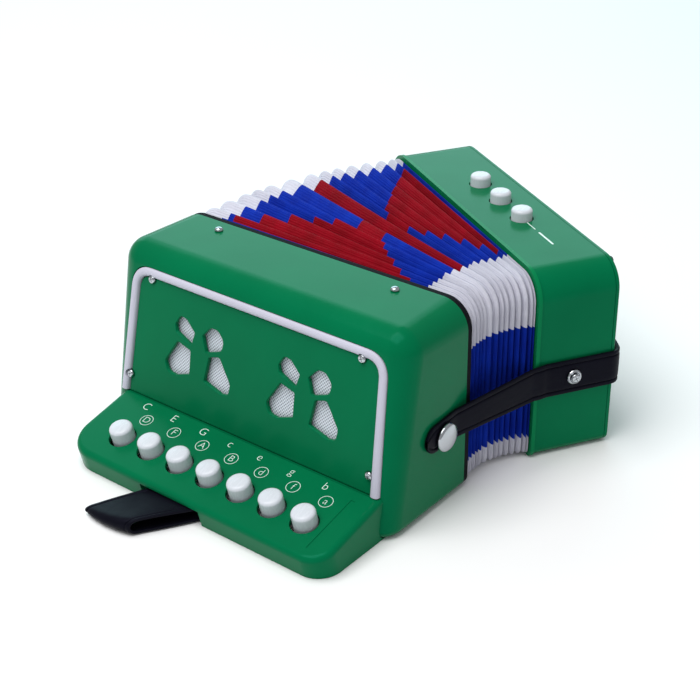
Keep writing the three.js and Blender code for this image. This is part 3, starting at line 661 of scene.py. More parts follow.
# The four openings of one grille motif, as (across, height, corner radius) corners.
MOTIF = (
    (
        (-15.6, 65.5, 2), (-12.5, 70.4, 1.6), (-8.5, 69.9, 1.6),
        (-2.6, 64.6, 1), (-4.4, 57.8, 1.4), (-14.7, 62, 1.6),
    ),
    ((2.6, 64.8, 1), (7.6, 70.2, 3), (12.2, 70.2, 4), (16.2, 66, 4), (15.4, 60.6, 4), (5.5, 57.2, 1)),
    ((-13.4, 57.2, 1), (-4.6, 55, 1), (-4.3, 43, 1), (-13.5, 39.8, 2), (-18.5, 40.2, 3.4), (-21, 45, 3)),
    ((7.8, 55.4, 1.4), (14.4, 57.4, 2), (22.4, 46, 2.6), (21.6, 40.4, 2.6), (17, 39.6, 2.6), (5.6, 42.6, 1)),
)


def filleted_plate(name, outline, holes, low, high, fillet, place):
    """A flat plate with rounded edges, its own and its openings', by a filled curve's bevel."""
    curve = bpy.data.curves.new(name, "CURVE")
    curve.dimensions = "2D"
    curve.fill_mode = "BOTH"
    curve.bevel_depth = fillet
    curve.bevel_resolution = 3
    curve.offset = -fillet
    curve.extrude = (high - low) / 2 - fillet
    for loop in [outline, *holes]:
        spline = curve.splines.new("POLY")
        spline.points.add(len(loop) - 1)
        for point, (x, y) in zip(spline.points, loop):
            point.co = (x, y, 0, 1)
        spline.use_cyclic_u = True
    return from_curve(name, curve, 1e-3, place @ Matrix.Translation((0, 0, (low + high) / 2)))


def build_grille():
    holes = []
    for centre in MOTIF_CENTRES:
        for opening in MOTIF:
            holes.append(rounded([(u + centre, slope(z), radius) for u, z, radius in opening], 8))
    outline = plate_outline(TRIM_WIDTH + GAP, FOOT_Z + 0.1)
    plate = filleted_plate(
        "grille_panel", outline, holes, -PLATE_SUNK - PLATE_THICK, -PLATE_SUNK, 0.45, END_FRAME)
    cutters = []
    for u, z in PLATE_SCREWS:
        above = (u, slope(z), 2)
        cutters.append(rod("screw_hole", END_FRAME, (u, slope(z), -8), above, 1.3))
        cutters.append(rod("screw_seat", END_FRAME, (u, slope(z), -PLATE_SUNK - 0.3), above, SCREW_NOTCH))
    boolean(plate, cutters)
    dress(plate, "treble", GREEN, "green_shell", "grille_plate")

    # The piping: a half-round bead round three sides of the plate.
    half = TRIM_WIDTH / 2
    centre_line = plate_outline(half, FOOT_Z + 0.3, 16)
    path = [centre_line[1], *centre_line[2:], centre_line[0]]
    shape = [(-half, -3.3), (half, -3.3)]
    for step in range(11):
        turn = pi * step / 10
        shape.append((half * cos(turn), (PLATE_SUNK + TRIM_PROUD) * sin(turn) ** 0.7 - PLATE_SUNK))
    rings = []
    for i, point in enumerate(path):
        here = Vector(point)
        if i == 0:
            side = Vector((-1, 0))
        elif i == len(path) - 1:
            side = Vector((1, 0))
        else:
            ahead = (Vector(path[i + 1]) - Vector(path[i - 1])).normalized()
            side = Vector((-ahead.y, ahead.x))
        rings.append([(here.x + side.x * across, here.y + side.y * across, up) for across, up in shape])
    trim = mesh_object("grille_piping", sweep(rings), END_FRAME)
    notches = [
        rod("notch", END_FRAME, (u, slope(z), -8), (u, slope(z), 6), SCREW_NOTCH) for u, z in PLATE_SCREWS]
    boolean(trim, notches)
    dress(trim, "treble", PIPING, "white_piping", "grille_trim")

    # The mesh cloth, stretched flat behind the plate.
    low = Vector((TRIM_CENTRE - 71.4, slope(FOOT_Z + 5.5)))
    high = Vector((TRIM_CENTRE + 71.4, slope(TRIM_TOP_Z) - TRIM_WIDTH - LEDGE_WIDTH - 0.6))
    columns, rows = 96, 34
    bm = bmesh.new()
    grid = []
    for row in range(rows + 1):
        y = low.y + (high.y - low.y) * row / rows
        line = []
        for column in range(columns + 1):
            x = low.x + (high.x - low.x) * column / columns
            ripple = 0.12 * sin(x * 0.21 + 1.3 * sin(y * 0.11)) * sin(y * 0.17)
            line.append(bm.verts.new((x, y, -4.15 + ripple)))
        grid.append(line)
    uv_layer = bm.loops.layers.uv.new("weave")
    for row in range(rows):
        for column in range(columns):
            face = bm.faces.new((
                grid[row][column], grid[row][column + 1], grid[row + 1][column + 1], grid[row + 1][column]))
            for loop in face.loops:
                loop[uv_layer].uv = (loop.vert.co.x / 10, loop.vert.co.y / 10)
    cloth = mesh_object("grille_sheet", bm, END_FRAME)
    dress(cloth, "treble", MESH, "grille_mesh", "grille_cloth", weighted=False)


# ---------------- button board
def board_body(name, inset, drop, fillet, floor):
    """The button board's outer shape, or a smaller one inside it, as one convex block."""
    def outline(shrink):
        points = [(BOARD_FAR + inset + shrink, -9), (BOARD_NEAR - inset - shrink, -9)]
        for start, corner in BOARD_CORNERS:
            u = BOARD_FAR + corner if start == 180 else BOARD_NEAR - corner
            radius = corner - inset - shrink
            for i in range(17):
                turn = radians(start - 90 * i / 16)
                points.append((u + radius * cos(turn), BOARD_WIDTH - corner + radius * sin(turn)))
        return points

    points = []
    for step in range(9):
        turn = pi * step / 16
        for u, out in outline(fillet * (1 - sin(turn))):
            points.append((u, -out, -drop - fillet * (1 - cos(turn))))
    for u, out in outline(0):
        top_z = (BOARD_FRAME @ Vector((u, -out, 0))).z * 1000
        points.append((u, -out, -(top_z - floor) / cos(BOARD_TILT)))
    return mesh_object(name, hull(points), BOARD_FRAME)


def button_y(i):
    return BUTTON_MIDDLE_Y + (3 - i) * BUTTON_PITCH


def hole_cutter(name, place, radius):
    """A hole's cutter with a softly broken upper edge, its top at height 0."""
    profile = [
        (0, -6), (radius, -6), (radius, -0.45), (radius + 0.06, -0.22), (radius + 0.2, -0.06),
        (radius + 0.45, 0.0), (radius + 0.45, 3), (0, 3),
    ]
    return mesh_object(name, lathe(profile, 96), place)


def build_board():
    board = board_body("board_shell", 0, 0, BOARD_FILLET, 0)
    ribs = [
        block("rib", TREBLE, (-99.5, -20.5, 0.6), (-92, -18, 11)),
        block("rib", TREBLE, (-99.5, 26, 0.6), (-92, 28.5, 11)),
    ]
    boolean(board, [board_body("inner", BOARD_WALL, BOARD_WALL, 1.2, -2)])
    under = board_body("under", 0.5, 0.5, BOARD_FILLET, 0)
    for rib in ribs:
        boolean(rib, [copy_of(under)], "INTERSECT")
    bpy.data.objects.remove(under)
    boolean(board, ribs, "UNION")
    cutters = [
        treble_body("casing", -GAP, -GAP, 4),
        plate_prism("recess", -GAP, FOOT_Z - GAP, -LEDGE_DEPTH, 6),
        block("notch", TREBLE, (-112, -12, -1), (-97.5, 26, 8.9)),
        block("groove", BOARD_FRAME, (72.6, -39, -0.3), (74.8, -6, 3)),
        rod("bar_hole", TREBLE, (-95.6, -30, 4.2), (-95.6, 40, 4.2), 1.6),
    ]
    for i in range(7):
        place = BOARD_FRAME @ Matrix.Translation((-button_y(i), -BUTTON_OUT - BUTTON_HOLE_OUT, 0))
        cutters.append(hole_cutter("button_hole", place, BUTTON_HOLE))
    boolean(board, cutters)
    dress(board, "treble", GREEN, "green_shell", "button_board")


def copy_of(piece):
    twin = piece.copy()
    twin.data = piece.data.copy()
    bpy.context.scene.collection.objects.link(twin)
    return twin


def button_profile(radius, top, skirt, stem_radius, stem_foot):
    """A button with a generously rounded rim and a faintly crowned top, on a narrower stem."""
    profile = [(0, stem_foot), (stem_radius, stem_foot), (stem_radius, skirt)]
    profile += [(radius, skirt), (radius, top - 2.1)]
    for step in range(1, 9):
        turn = pi / 2 * step / 8
        profile.append((radius - 2 * (1 - cos(turn)), top - 0.25 - 1.85 * (1 - sin(turn))))
    profile += [(radius * 0.4, top - 0.06), (0, top)]
    return profile


def build_buttons():
    for i in range(7):
        place = BOARD_FRAME @ Matrix.Translation((-button_y(i), -BUTTON_OUT, 0))
        shape = button_profile(BUTTON_RADIUS, BUTTON_PROUD, skirt=-3.6, stem_radius=2.2, stem_foot=-5.1)
        button = mesh_object(f"treble_cap_{i + 1}", lathe(shape, 72), place)
        dress(button, f"treble_key_{i + 1}", WHITE, "white_button", f"treble_button_{i + 1}")
    for i in range(3):
        y = BASS_BUTTON_Y + (1 - i) * BASS_BUTTON_PITCH
        place = BASS @ Matrix.Translation((BASS_BUTTON_X, y, 0))
        top = HEIGHT + BASS_BUTTON_PROUD
        shape = button_profile(BASS_BUTTON_RADIUS, top, skirt=91.5, stem_radius=2.4, stem_foot=88.3)
        button = mesh_object(f"bass_cap_{i + 1}", lathe(shape, 72), place)
        dress(button, f"bass_key_{i + 1}", WHITE, "white_button", f"bass_button_{i + 1}")


# ---------------- printed marks
MARK_LIFT = 0.03
MARK_THICK = 0.06
PLAIN_NOTES = tuple(zip("CEGcegb", (-59, -40, -20, -2, 17, 37, 57)))
PLAIN_SIZE = 6.6
PLAIN_OUT = 5
RINGED_NOTES = tuple(zip("DFABdfa", (-52, -33, -14, 5, 24, 43.5, 63)))
RINGED_SIZE = 5.6
RINGED_OUT = 12.5
RING_RADII = (3.28, 3.55)
# The dashes beside the bass buttons, as (start, end, half width).
BASS_MARKS = ((-39, -30, 0.25), (-58, -43, 0.5))


def dress_mark(mark, body):
    return dress(mark, body, INK, "white_piping", weighted=False)


def note_name(text):
    return f"{text}_{'upper' if text.isupper() else 'lower'}"


def build_letter(name, text, size, u, out):
    curve = bpy.data.curves.new(name, "FONT")
    curve.body = text
    curve.size = size
    curve.align_x = "CENTER"
    curve.align_y = "CENTER"
    curve.extrude = MARK_THICK / 2
    curve.offset = -0.018 * size
    place = BOARD_FRAME @ Matrix.Translation((u, -out, MARK_LIFT + MARK_THICK / 2))
    dress_mark(from_curve(name, curve, 1e-4, place), "treble")


def build_marks():
    low = MARK_LIFT
    high = MARK_LIFT + MARK_THICK
    inner, outer = RING_RADII
    for text, u in PLAIN_NOTES:
        build_letter(f"note_{note_name(text)}", text, PLAIN_SIZE, u, PLAIN_OUT)
    for text, u in RINGED_NOTES:
        build_letter(f"note_{note_name(text)}_ringed", text, RINGED_SIZE, u, RINGED_OUT)
        circle = ring_lathe([(inner, low), (outer, low), (outer, high), (inner, high)], 48)
        place = BOARD_FRAME @ Matrix.Translation((u, -RINGED_OUT, 0))
        dress_mark(mesh_object(f"note_ring_{note_name(text)}", circle, place), "treble")
    for index, (start, end, half) in enumerate(BASS_MARKS):
        near = (BASS_BUTTON_X - half, start, HEIGHT + low)
        far = (BASS_BUTTON_X + half, end, HEIGHT + high)
        dress_mark(block(f"bass_mark_{index + 1}", BASS, near, far), "bass")


# ---------------- bellows
def fanned(closed_x, share, y, z):
    """A point of the closed bellows after its share of the fan's turn."""
    point = Vector((closed_x, y, 0)) - FAN_PIVOT
    point = Matrix.Rotation(FAN_ANGLE * share, 3, "Z") @ point + FAN_PIVOT
    return (point.x, point.y, z)


FOLD_STEPS = (0.0, 0.05, 0.12, 0.2, 0.29, 0.37, 0.43, 0.5, 0.57, 0.63, 0.71, 0.8, 0.88, 0.95)
# The red diamonds of the two halves: each narrows evenly from its outer folds to the middle fold.
RED_START = 34.5
RED_START_STEP = 8.6
RED_END = 167.5
RED_END_STEP = 10.3
RED_FOLDS = 6
BLUE_START = 31
BLUE_END = 161
BLUE_SHIFT = 6


def fold_share(fold, step, nearness):
    """The share of the fan at a step (0 to 1, ridge at 0.5) across a fold; nearness is 1 at the near edge."""
    passed = sum(FOLD_WIDTHS[:fold]) + FOLD_WIDTHS[fold] * step
    share = passed / sum(FOLD_WIDTHS)
    return share - NEAR_LAG * nearness * share * (1 - share)


def fold_depth(step, lengthwise):
    """0 on a fold's ridge, 1 in the valley: cord-like along the near edge, flat-sided at the far one."""
    away = abs(2 * step - 1)
    cord = (1 - sqrt(1 - 0.97 * away * away)) / (1 - sqrt(0.03))
    soft = 0.16
    flat = (sqrt(away * away + soft * soft) - soft) / (sqrt(1 + soft * soft) - soft)
    return cord + (flat - cord) * lengthwise ** 0.6


def fold_colour(fold, y, z):
    """0 blue, 1 red, 2 white."""
    reach = y - FAN_PIVOT.y
    on_side = abs(y) > HALF - TOP_RADIUS and 5 < z < HEIGHT - TOP_RADIUS
    if on_side:
        return 0 if 12 < z < 73 else 2
    last = len(FOLD_WIDTHS) - 1
    shift = BLUE_SHIFT * fold / last
    if reach < BLUE_START + shift or reach > BLUE_END + shift:
        return 2
    from_edge = min(fold, last - fold)
    if from_edge > RED_FOLDS:
        return 1
    start = RED_START + RED_START_STEP * from_edge
    end = RED_END - RED_END_STEP * from_edge
    return 1 if from_edge and start < reach < end else 0


def build_bellows():
    columns = 10
    straight = 84
    stations = [(fold, step) for fold in range(len(FOLD_WIDTHS)) for step in FOLD_STEPS]
    stations.append((len(FOLD_WIDTHS) - 1, 1.0))
    ridge = section(RIDGE_INSET, columns, straight, 4)
    valley = section(VALLEY_INSET, columns, straight, 4)
    ridge_inside = section(RIDGE_INSET + SKIN, columns, straight, 4)
    valley_inside = section(VALLEY_INSET + SKIN, columns, straight, 4)
    count = len(ridge)
    loops = [(fold, step, ridge, valley) for fold, step in stations]
    loops += [(fold, step, ridge_inside, valley_inside) for fold, step in reversed(stations)]
    bm = bmesh.new()
    verts = []
    for fold, step, high, low in loops:
        line = []
        for (y0, z0), (y1, z1) in zip(high, low):
            lengthwise = (y0 + HALF) / (2 * HALF)
            share = fold_share(fold, step, 1 - lengthwise)
            depth = fold_depth(step, lengthwise)
            closed_x = BELLOWS_FROM + (BELLOWS_TO - BELLOWS_FROM) * share
            y = y0 + (y1 - y0) * depth
            z = z0 + (z1 - z0) * depth
            line.append(bm.verts.new(fanned(closed_x, share, y, z)))
        verts.append(line)
    uv_layer = bm.loops.layers.uv.new("weave")
    along = [0.0]
    for (y0, z0), (y1, z1) in zip(ridge, ridge[1:] + ridge[:1]):
        along.append(along[-1] + hypot(y1 - y0, z1 - z0) / 10)
    for r, (fold, *_) in enumerate(loops):
        after = (r + 1) % len(loops)
        for i in range(count):
            j = (i + 1) % count
            face = bm.faces.new((verts[r][i], verts[r][j], verts[after][j], verts[after][i]))
            face.smooth = True
            y = (ridge[i][0] + ridge[j][0]) / 2
            z = (ridge[i][1] + ridge[j][1]) / 2
            face.material_index = fold_colour(fold, y, z)
            spots = ((along[i], r), (along[i + 1], r), (along[i + 1], r + 1), (along[i], r + 1))
            for loop, (across, step) in zip(face.loops, spots):
                loop[uv_layer].uv = (across, step * 0.06)
    bellows = mesh_object("bellows_folds", bm, TREBLE)
    for material in (BLUE_CLOTH, RED_CLOTH, WHITE_CLOTH):
        bellows.data.materials.append(material)
    bend(bellows)
    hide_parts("bellows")


def bend(piece):
    """Bakes a piece's placement into its mesh."""
    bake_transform(piece)


def frame_ring(name, place, body, node, x0, x1, inset, opening):
    """A flat black gasket with rounded rims."""
    ring = slab(name, place, x0, x1, inset)
    boolean(ring, [slab("opening", place, x0 - 1, x1 + 1, opening)])
    soften = ring.modifiers.new("soft", "BEVEL")
    soften.width = 0.00045
    soften.segments = 3
    soften.limit_method = "ANGLE"
    soften.angle_limit = radians(50)
    settle(ring)
    dress(ring, body, RUBBER, "black_gasket", node)


# ---------------- bass casing
def build_bass_casing():
    tube_end = BASS_DEPTH - END_PLATE_THICK - GAP
    casing = slab("bass_shell", BASS, 0, tube_end, 0)
    lip = slab("lip", BASS, 0, 2, -0.6)
    boolean(lip, [block("under", BASS, (-1, -100, -3), (3, 100, 0))])
    boolean(casing, [lip], "UNION")
    cutters = [
        slab("inner", BASS, -1, tube_end - 3.2, WALL),
        slab("end_opening", BASS, 0, BASS_DEPTH, WALL + 7),
    ]
    for i in range(3):
        y = BASS_BUTTON_Y + (1 - i) * BASS_BUTTON_PITCH
        place = BASS @ Matrix.Translation((BASS_BUTTON_X, y, HEIGHT))
        cutters.append(hole_cutter("button_hole", place, BASS_BUTTON_HOLE))
    for side in (-1, 1):
        start = (STRAP_SCREW_X, side * 80, STRAP_Z)
        cutters.append(rod("strap_hole", BASS, start, (STRAP_SCREW_X, side * 95, STRAP_Z), 1.5))
    for y, z in END_SCREWS:
        cutters.append(rod("screw_hole", BASS, (30, y, z), (50, y, z), 1.2))
    boolean(casing, cutters)
    dress(casing, "bass", GREEN, "green_shell", "bass_casing")
    # The lip's faces take the lighter green, a painted highlight along the bellows edge.
    casing.data.materials.append(GREEN_LIP_PAINTED_HIGHLIGHT)
    to_bass = BASS.inverted()
    for face in casing.data.polygons:
        if (to_bass @ face.center).x < 2.1:
            face.material_index = 1

    x0 = BASS_DEPTH - END_PLATE_THICK
    points = [(x0, y, z) for y, z in section(0)]
    for step in range(7):
        turn = pi / 2 * step / 6
        x = BASS_DEPTH - 1.2 * (1 - sin(turn))
        points += [(x, y, z) for y, z in section(1.2 * (1 - cos(turn)))]
    plate = mesh_object("bass_end_panel", hull(points), BASS)
    boolean(plate, [rod("screw_hole", BASS, (30, y, z), (50, y, z), 1.3) for y, z in END_SCREWS])
    dress(plate, "bass", GREEN, "green_shell", "bass_end_plate")


# ---------------- straps
def strap_shape(half, thick):
    """Cross-section (across, out) of a strap: rounded edges and a pressed crease inside each edge."""
    rim = thick * 0.5
    outer = []
    for side in (-1, 1):
        marks = [
            (half, 0.0), (half - 0.1, rim * 0.75), (half - 0.5, rim), (half - 1.5, rim * 1.04),
            (half - 2.0, rim * 0.92), (half - 2.35, rim * 0.45), (half - 2.7, rim * 0.9),
            (half - 3.4, rim * 1.1), (half * 0.45, rim * 1.2),
        ]
        line = [(side * across, out) for across, out in marks]
        outer += line if side < 0 else line[::-1]
    middle = len(outer) // 2
    outer.insert(middle, (0.0, rim * 1.22))
    inner = [(half - 0.25, -rim * 0.85), (half - 0.9, -rim), (0.0, -rim)]
    return outer + inner + [(0.9 - half, -rim), (0.25 - half, -rim * 0.85)]


def strap_rings(path, widths, centres, thick):
    """Rings across a strap that runs along a plan path; widths and centres are by point."""
    rings = []
    for i, point in enumerate(path):
        before = path[max(i - 1, 0)]
        after = path[min(i + 1, len(path) - 1)]
        ahead = (after - before).normalized()
        out = Vector((ahead.y, -ahead.x, 0))
        ring = []
        for across, lift in strap_shape(widths[i], thick):
            ring.append((point.x + out.x * lift, point.y + out.y * lift, centres[i] + across))
        rings.append(ring)
    return rings


def bezier(points, steps, upright=False):
    """Points of a cubic or quadratic curve, given as (x, y) or, if upright, as (x, z)."""
    corners = [Vector((a, 0, b) if upright else (a, b, 0)) for a, b in points]
    result = []
    for step in range(steps + 1):
        t = step / steps
        line = corners
        while len(line) > 1:
            line = [a.lerp(b, t) for a, b in zip(line, line[1:])]
        result.append(line[0])
    return result


def build_hand_strap():
    """The long strap: over both sides of the bass casing and bowed out behind its end."""
    face_y = HALF + GAP + STRAP_THICK / 2
    corner_x = BASS_DEPTH + 2.9
    corner_y = HALF - 2.2
    bow_x = BASS_DEPTH + HAND_GAP + 3.4
    near_edge = [(BASS_DEPTH - 3.4, -face_y), (BASS_DEPTH + 1.5, -face_y), (corner_x, -corner_y)]
    near_corner = bezier(near_edge, 10)
    bow = bezier([(corner_x, -corner_y), (bow_x, -HALF / 2), (bow_x, HALF / 2), (corner_x, corner_y)], 60)
    far_corner = [Vector((point.x, -point.y, 0)) for point in reversed(near_corner)]
    start = [Vector((STRAP_SPLIT_X + 0.15 + i * 3.2, -face_y, 0)) for i in range(8)]
    finish = [Vector((STRAP_SPLIT_X + i * 3.2, face_y, 0)) for i in range(7, -1, -1)]
    path = start + near_corner + bow[1:-1] + far_corner + finish
    last = path[-1]
    widths = []
    for point in path:
        away = (point - last).length if point.y > 0 else 99
        widths.append(STRAP_HALF_HAND * sqrt(1 - (1 - min(away / 3, 1)) ** 2 * 0.6))
    rings = strap_rings(path, widths, [STRAP_Z] * len(path), BAND_THICK)
    strap = mesh_object("hand_strap_band", sweep(rings), BASS)
    holes = []
    for side in (-1, 1):
        start = (STRAP_SCREW_X, side * 84, STRAP_Z)
        holes.append(rod("hole", BASS, start, (STRAP_SCREW_X, side * 99, STRAP_Z), 1.6))
    boolean(strap, holes)
    dress(strap, "bass", LEATHER, "black_leather", "hand_strap", angle=50)


def bass_to_treble(x, y):
    return TO_TREBLE @ (BASS @ Vector((x, y, 0)))


def build_closing_strap():
    """The short strap across the bellows, from the snap to the near side of the bass casing."""
    face_y = -HALF - GAP - STRAP_THICK / 2
    tip_x = SNAP_X - TIP_PAST_SNAP
    turns = [pi / 2 * i / 10 for i in range(11)]
    path = [Vector((tip_x + 0.05 + TIP_LENGTH * (1 - cos(turn)), face_y, 0)) for turn in turns]
    path += [Vector((tip_x + 9 + i * 2.2, face_y, 0)) for i in range(6)]
    bridge_start = Vector((SNAP_X + 9, face_y, 0))
    bridge_end = bass_to_treble(-1.5, face_y - 1)
    path += [bridge_start.lerp(bridge_end, i / 24) for i in range(25)]
    touch = bass_to_treble(2.8, face_y - 0.8)
    lying = bass_to_treble(6, face_y)
    end = bass_to_treble(STRAP_SPLIT_X + 0.15, face_y)
    path += [touch, touch.lerp(lying, 0.5), lying, lying.lerp(end, 0.5), end]
    start_x = tip_x + TIP_LENGTH
    widths, centres, weights = [], [], []
    bridge_low = SNAP_X + 14
    for point in path:
        share = min(max((point.x - start_x) / (touch.x - start_x), 0), 1)
        tip = min((point.x - tip_x) / TIP_LENGTH, 1)
        half = STRAP_HALF_TAIL + (STRAP_HALF_HAND - STRAP_HALF_TAIL) * share
        widths.append(half * sqrt(max(1 - (1 - tip) ** 2, 0.02)))
        centres.append(TAIL_Z + (STRAP_Z - TAIL_Z) * share)
        turn = min(max((point.x - bridge_low) / (touch.x - 3 - bridge_low), 0), 1)
        weights.append(turn * turn * (3 - 2 * turn))
    rings = strap_rings(path, widths, centres, BAND_THICK)
    strap = mesh_object("closing_strap_band", sweep(rings), TREBLE)
    strap.data.materials.append(LEATHER)
    strap.data.shade_smooth()
    strap.data.set_sharp_from_angle(angle=radians(50))
    bend(strap)
    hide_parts("closing_strap")


def build_thumb_strap():
    """A flattened loop of the same leather, passed through the notch and leaning as it goes out."""
    casing_x = THUMB_CASING_X
    fold_x = THUMB_FOLD_X
    top_line = bezier([(casing_x + 0.4, 6.9), (-104, 7.6), (-116, 8.4), (fold_x, 7.7)], 18, True)
    fold = bezier([(fold_x, 7.7), (fold_x - 5.1, 7.2), (fold_x - 5.1, 1.2), (fold_x, 1.25)], 12, True)
    bottom_line = bezier([(fold_x, 1.25), (-114, 1.3), (-102, 1.3), (casing_x, 1.4)], 18, True)
    back_x = casing_x + 2.2
    back = bezier([(casing_x, 1.4), (back_x, 1.7), (back_x, 6.6), (casing_x + 0.4, 6.9)], 10, True)
    path = top_line + fold[1:] + bottom_line[1:] + back[1:-1]
    rings = []
    for i, point in enumerate(path):
        before = path[i - 1]
        after = path[(i + 1) % len(path)]
        ahead = (after - before).normalized()
        out = Vector((ahead.z, 0, -ahead.x))
        lean_y = -51.4 - THUMB_LEAN * point.x
        away = min(max((-96 - point.x) / 28, 0), 1)
        ring = []
        for across, lift in strap_shape(THUMB_HALF, THUMB_THICK):
            curl = 1 - away * (0.22 + 0.26 * across / THUMB_HALF)
            reach = -2.2 * away * away * (across / THUMB_HALF) ** 2
            z = THUMB_FLOOR + (point.z + out.z * lift - THUMB_FLOOR) * curl
            ring.append((point.x + out.x * lift - reach, lean_y + across, z))
        rings.append(ring)
    loop = mesh_object("thumb_loop", sweep(rings, closed=True), TREBLE)
    dress(loop, "treble", LEATHER, "black_leather", "thumb_strap", angle=50, weighted=False)


# ---------------- fittings
def cross_head(name, place, radius, height, shank, length):
    """A small pan-head screw with a cross recess."""
    profile = [(0, -length), (shank * 0.6, -length), (shank, -length + 0.8)]
    turns = int((length - 1.6) / 0.8)
    for i in range(turns):
        z = -length + 0.9 + i * 0.8
        profile += [(shank, z), (shank * 0.78, z + 0.4)]
    profile += [(shank, -0.3), (shank, 0), (radius * 0.94, 0), (radius, 0.12)]
    for step in range(7):
        turn = pi / 2 * step / 6
        profile.append((radius * (0.55 + 0.45 * cos(turn)), height * (0.35 + 0.65 * sin(turn))))
    profile.append((0, height * 1.02))
    screw = mesh_object(name, lathe(profile, 40), place)
    arms = []
    for turn in (0, pi / 2):
        blade = [(-0.55, 0.13), (-0.42, 0.07), (0.42, 0.07), (0.55, 0.13)]
        outline = [(x * radius, y * radius) for x, y in blade]
        outline += [(x * radius, -y * radius) for x, y in blade[::-1]]
        spin = place @ Matrix.Rotation(turn + 0.4, 4, "Z")
        arms.append(mesh_object("arm", prism(outline, height * 0.3, height + 1), spin))
    return boolean(screw, arms)


def build_fittings():
    for i, (u, z) in enumerate(PLATE_SCREWS):
        place = END_FRAME @ Matrix.Translation((u, slope(z), -PLATE_SUNK + 0.05))
        screw = cross_head(f"plate_fixing_{i + 1}", place, 2.1, 1.5, 0.9, 6)
        dress(screw, "treble", CHROME, "polished_chrome", f"plate_screw_{i + 1}")
    for i, (y, z) in enumerate(END_SCREWS):
        place = BASS @ axis_frame((BASS_DEPTH + 0.05, y, z), (1, 0, 0))
        screw = cross_head(f"end_fixing_{i + 1}", place, 2.4, 2.2, 0.9, 6)
        dress(screw, "bass", BLACK_SCREW, "black_screw", f"end_screw_{i + 1}")
    for side, word in ((-1, "near"), (1, "far")):
        seat = HALF + STRAP_THICK + 2 * GAP
        place = BASS @ axis_frame((STRAP_SCREW_X, side * (seat + 1.2), STRAP_Z), (0, side, 0))
        screw = cross_head(f"strap_fixing_{word}", place, 2.2, 1.5, 1.1, 9)
        dress(screw, "bass", CHROME, "polished_chrome", f"strap_screw_{word}")
        washer = [
            (1.7, 0.0), (3.5, 0.0), (3.85, 0.2), (3.9, 0.55), (3.6, 1.1),
            (3.2, 1.4), (2.8, 1.3), (2.4, 0.9), (1.7, 0.85),
        ]
        place = BASS @ axis_frame((STRAP_SCREW_X, side * seat, STRAP_Z), (0, side, 0))
        cup = mesh_object(f"strap_cup_{word}", ring_lathe(washer), place)
        dress(cup, "bass", CHROME, "polished_chrome", f"cup_washer_{word}")
    for i, y in enumerate((55, -55)):
        profile = [(0, -5), (1, -5), (1, 0.3), (2.1, 0.3), (2.2, 0.42)]
        turns = [radians(degrees) for degrees in range(0, 90, 9)]
        profile += [(2.2 * cos(turn), 0.5 + 1.6 * sin(turn)) for turn in turns]
        profile.append((0, 2.1))
        place = TREBLE @ Matrix.Translation((-9, y, HEIGHT))
        stud = mesh_object(f"front_stud_{i + 1}", lathe(profile), place)
        dress(stud, "treble", CHROME, "polished_chrome", f"front_screw_{i + 1}")
    r = SNAP_RADIUS
    profile = [
        (0, 2.7), (r - 0.3, 2.7), (r - 0.05, 2.85), (r, 3.2), (r - 0.1, 3.8), (r - 0.5, 4.3), (r - 1.1, 4.65),
        (r - 2.2, 4.95), (r * 0.5, 5.25), (r * 0.25, 5.42), (0, 5.48),
    ]
    place = TREBLE @ axis_frame((SNAP_X, -HALF, SNAP_Z), (0, -1, 0))
    dress(mesh_object("snap_button", lathe(profile), place), "treble", CHROME, "polished_chrome", "snap_cap")


# ---------------- pieces that keep their CAD solid
KEPT = {
    "key_rod": STEEL, "thumb_strap_bar": STEEL, "snap_stud": STEEL, "treble_reed_block": WOOD,
    "treble_reed_plate": BRASS, "bass_valve_plate": WOOD, "bass_reed_plate": BRASS,
}
KEPT.update({f"key_arm_{i}": STEEL for i in range(1, 8)})
KEPT.update({f"bass_valve_{i}": WHITE for i in range(1, 4)})


def dress_kept():
    for node, material in KEPT.items():
        for slot in bpy.data.objects[node].material_slots:
            slot.material = material


# ---------------- stage
def look_from(point, yaw, pitch, roll):
    ahead = Vector((cos(pitch) * cos(yaw), cos(pitch) * sin(yaw), sin(pitch)))
    right = ahead.cross(Vector((0, 0, 1))).normalized()
    up = right.cross(ahead)
    rolled_right = right * cos(roll) + up * sin(roll)
    rolled_up = up * cos(roll) - right * sin(roll)
    return frame_of(rolled_right, rolled_up, -ahead, point)


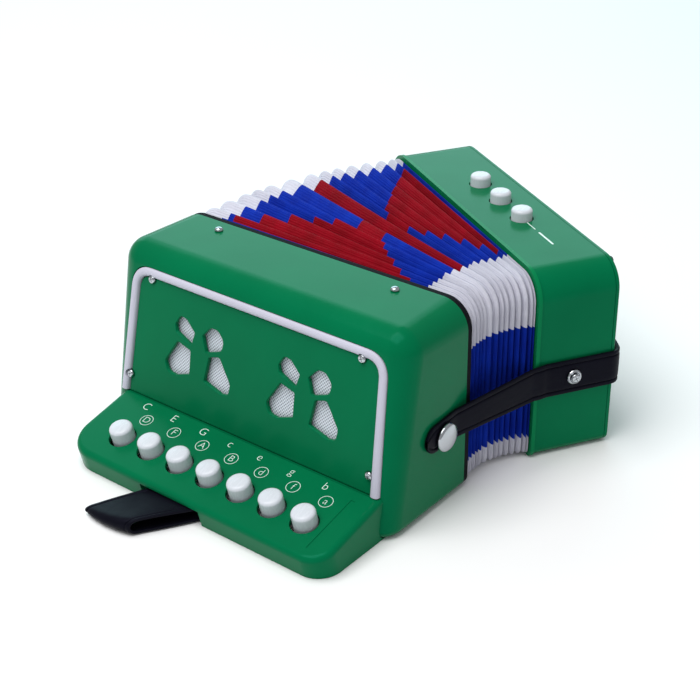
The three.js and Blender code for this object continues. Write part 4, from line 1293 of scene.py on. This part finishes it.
def build_camera():
    data = bpy.data.cameras.new("camera")
    data.sensor_width = 36
    data.lens = CAMERA_LENS
    camera = into_scene("camera", data)
    camera.matrix_world = look_from(CAMERA_AT, CAMERA_YAW, CAMERA_PITCH, CAMERA_ROLL)
    bpy.context.scene.camera = camera


def area_light(name, place, target, size, power, colour=(1, 1, 1)):
    data = bpy.data.lights.new(name, "AREA")
    data.shape = "RECTANGLE"
    data.size, data.size_y = size
    data.energy = power
    data.color = colour
    light = into_scene(name, data)
    light.location = place
    light.rotation_euler = (Vector(target) - Vector(place)).to_track_quat("-Z", "Y").to_euler()


def build_stage():
    reach = 4.0
    corners = [(-reach, -reach, 0), (reach, -reach, 0), (reach, reach, 0), (-reach, reach, 0)]
    floor = mesh_object("floor", from_lists(corners, [(0, 1, 2, 3)]), Matrix.Translation((0, 0, -0.0002)))
    paper = Shader("white_paper", (0.93, 0.93, 0.93), 0.9, Specular_IOR_Level=0.1)
    paper.bump(paper.noise(paper.place("Object"), 300, 3), 0.02, 0.0005)
    floor.data.materials.append(paper.material)
    world = bpy.data.worlds.new("studio")
    bpy.context.scene.world = world
    world.use_nodes = True
    background = world.node_tree.nodes["Background"]
    background.inputs["Color"].default_value = (0.97, 0.98, 1, 1)
    background.inputs["Strength"].default_value = 0.45
    area_light("key", (-0.4, 0.1, 1.2), (0, 0, 0.03), (0.9, 0.9), 14)
    area_light("back", (0.9, 0.9, 0.75), (0.05, 0, 0.05), (1.6, 1.0), 9, (0.55, 0.95, 1))
    bpy.context.scene.view_settings.view_transform = "Standard"


build_camera()
build_stage()
build_treble_casing()
build_grille()
build_board()
build_buttons()
build_marks()
build_bellows()
frame_ring("treble_gasket_ring", TREBLE, "treble", "treble_gasket", x0=0.3, x1=3.6, inset=0.2, opening=8)
frame_ring("bass_inner_ring", BASS, "bass", "bass_frame", x0=-2.3, x1=-0.3, inset=9, opening=13.5)
build_bass_casing()
build_hand_strap()
build_closing_strap()
build_thumb_strap()
build_fittings()
dress_kept()
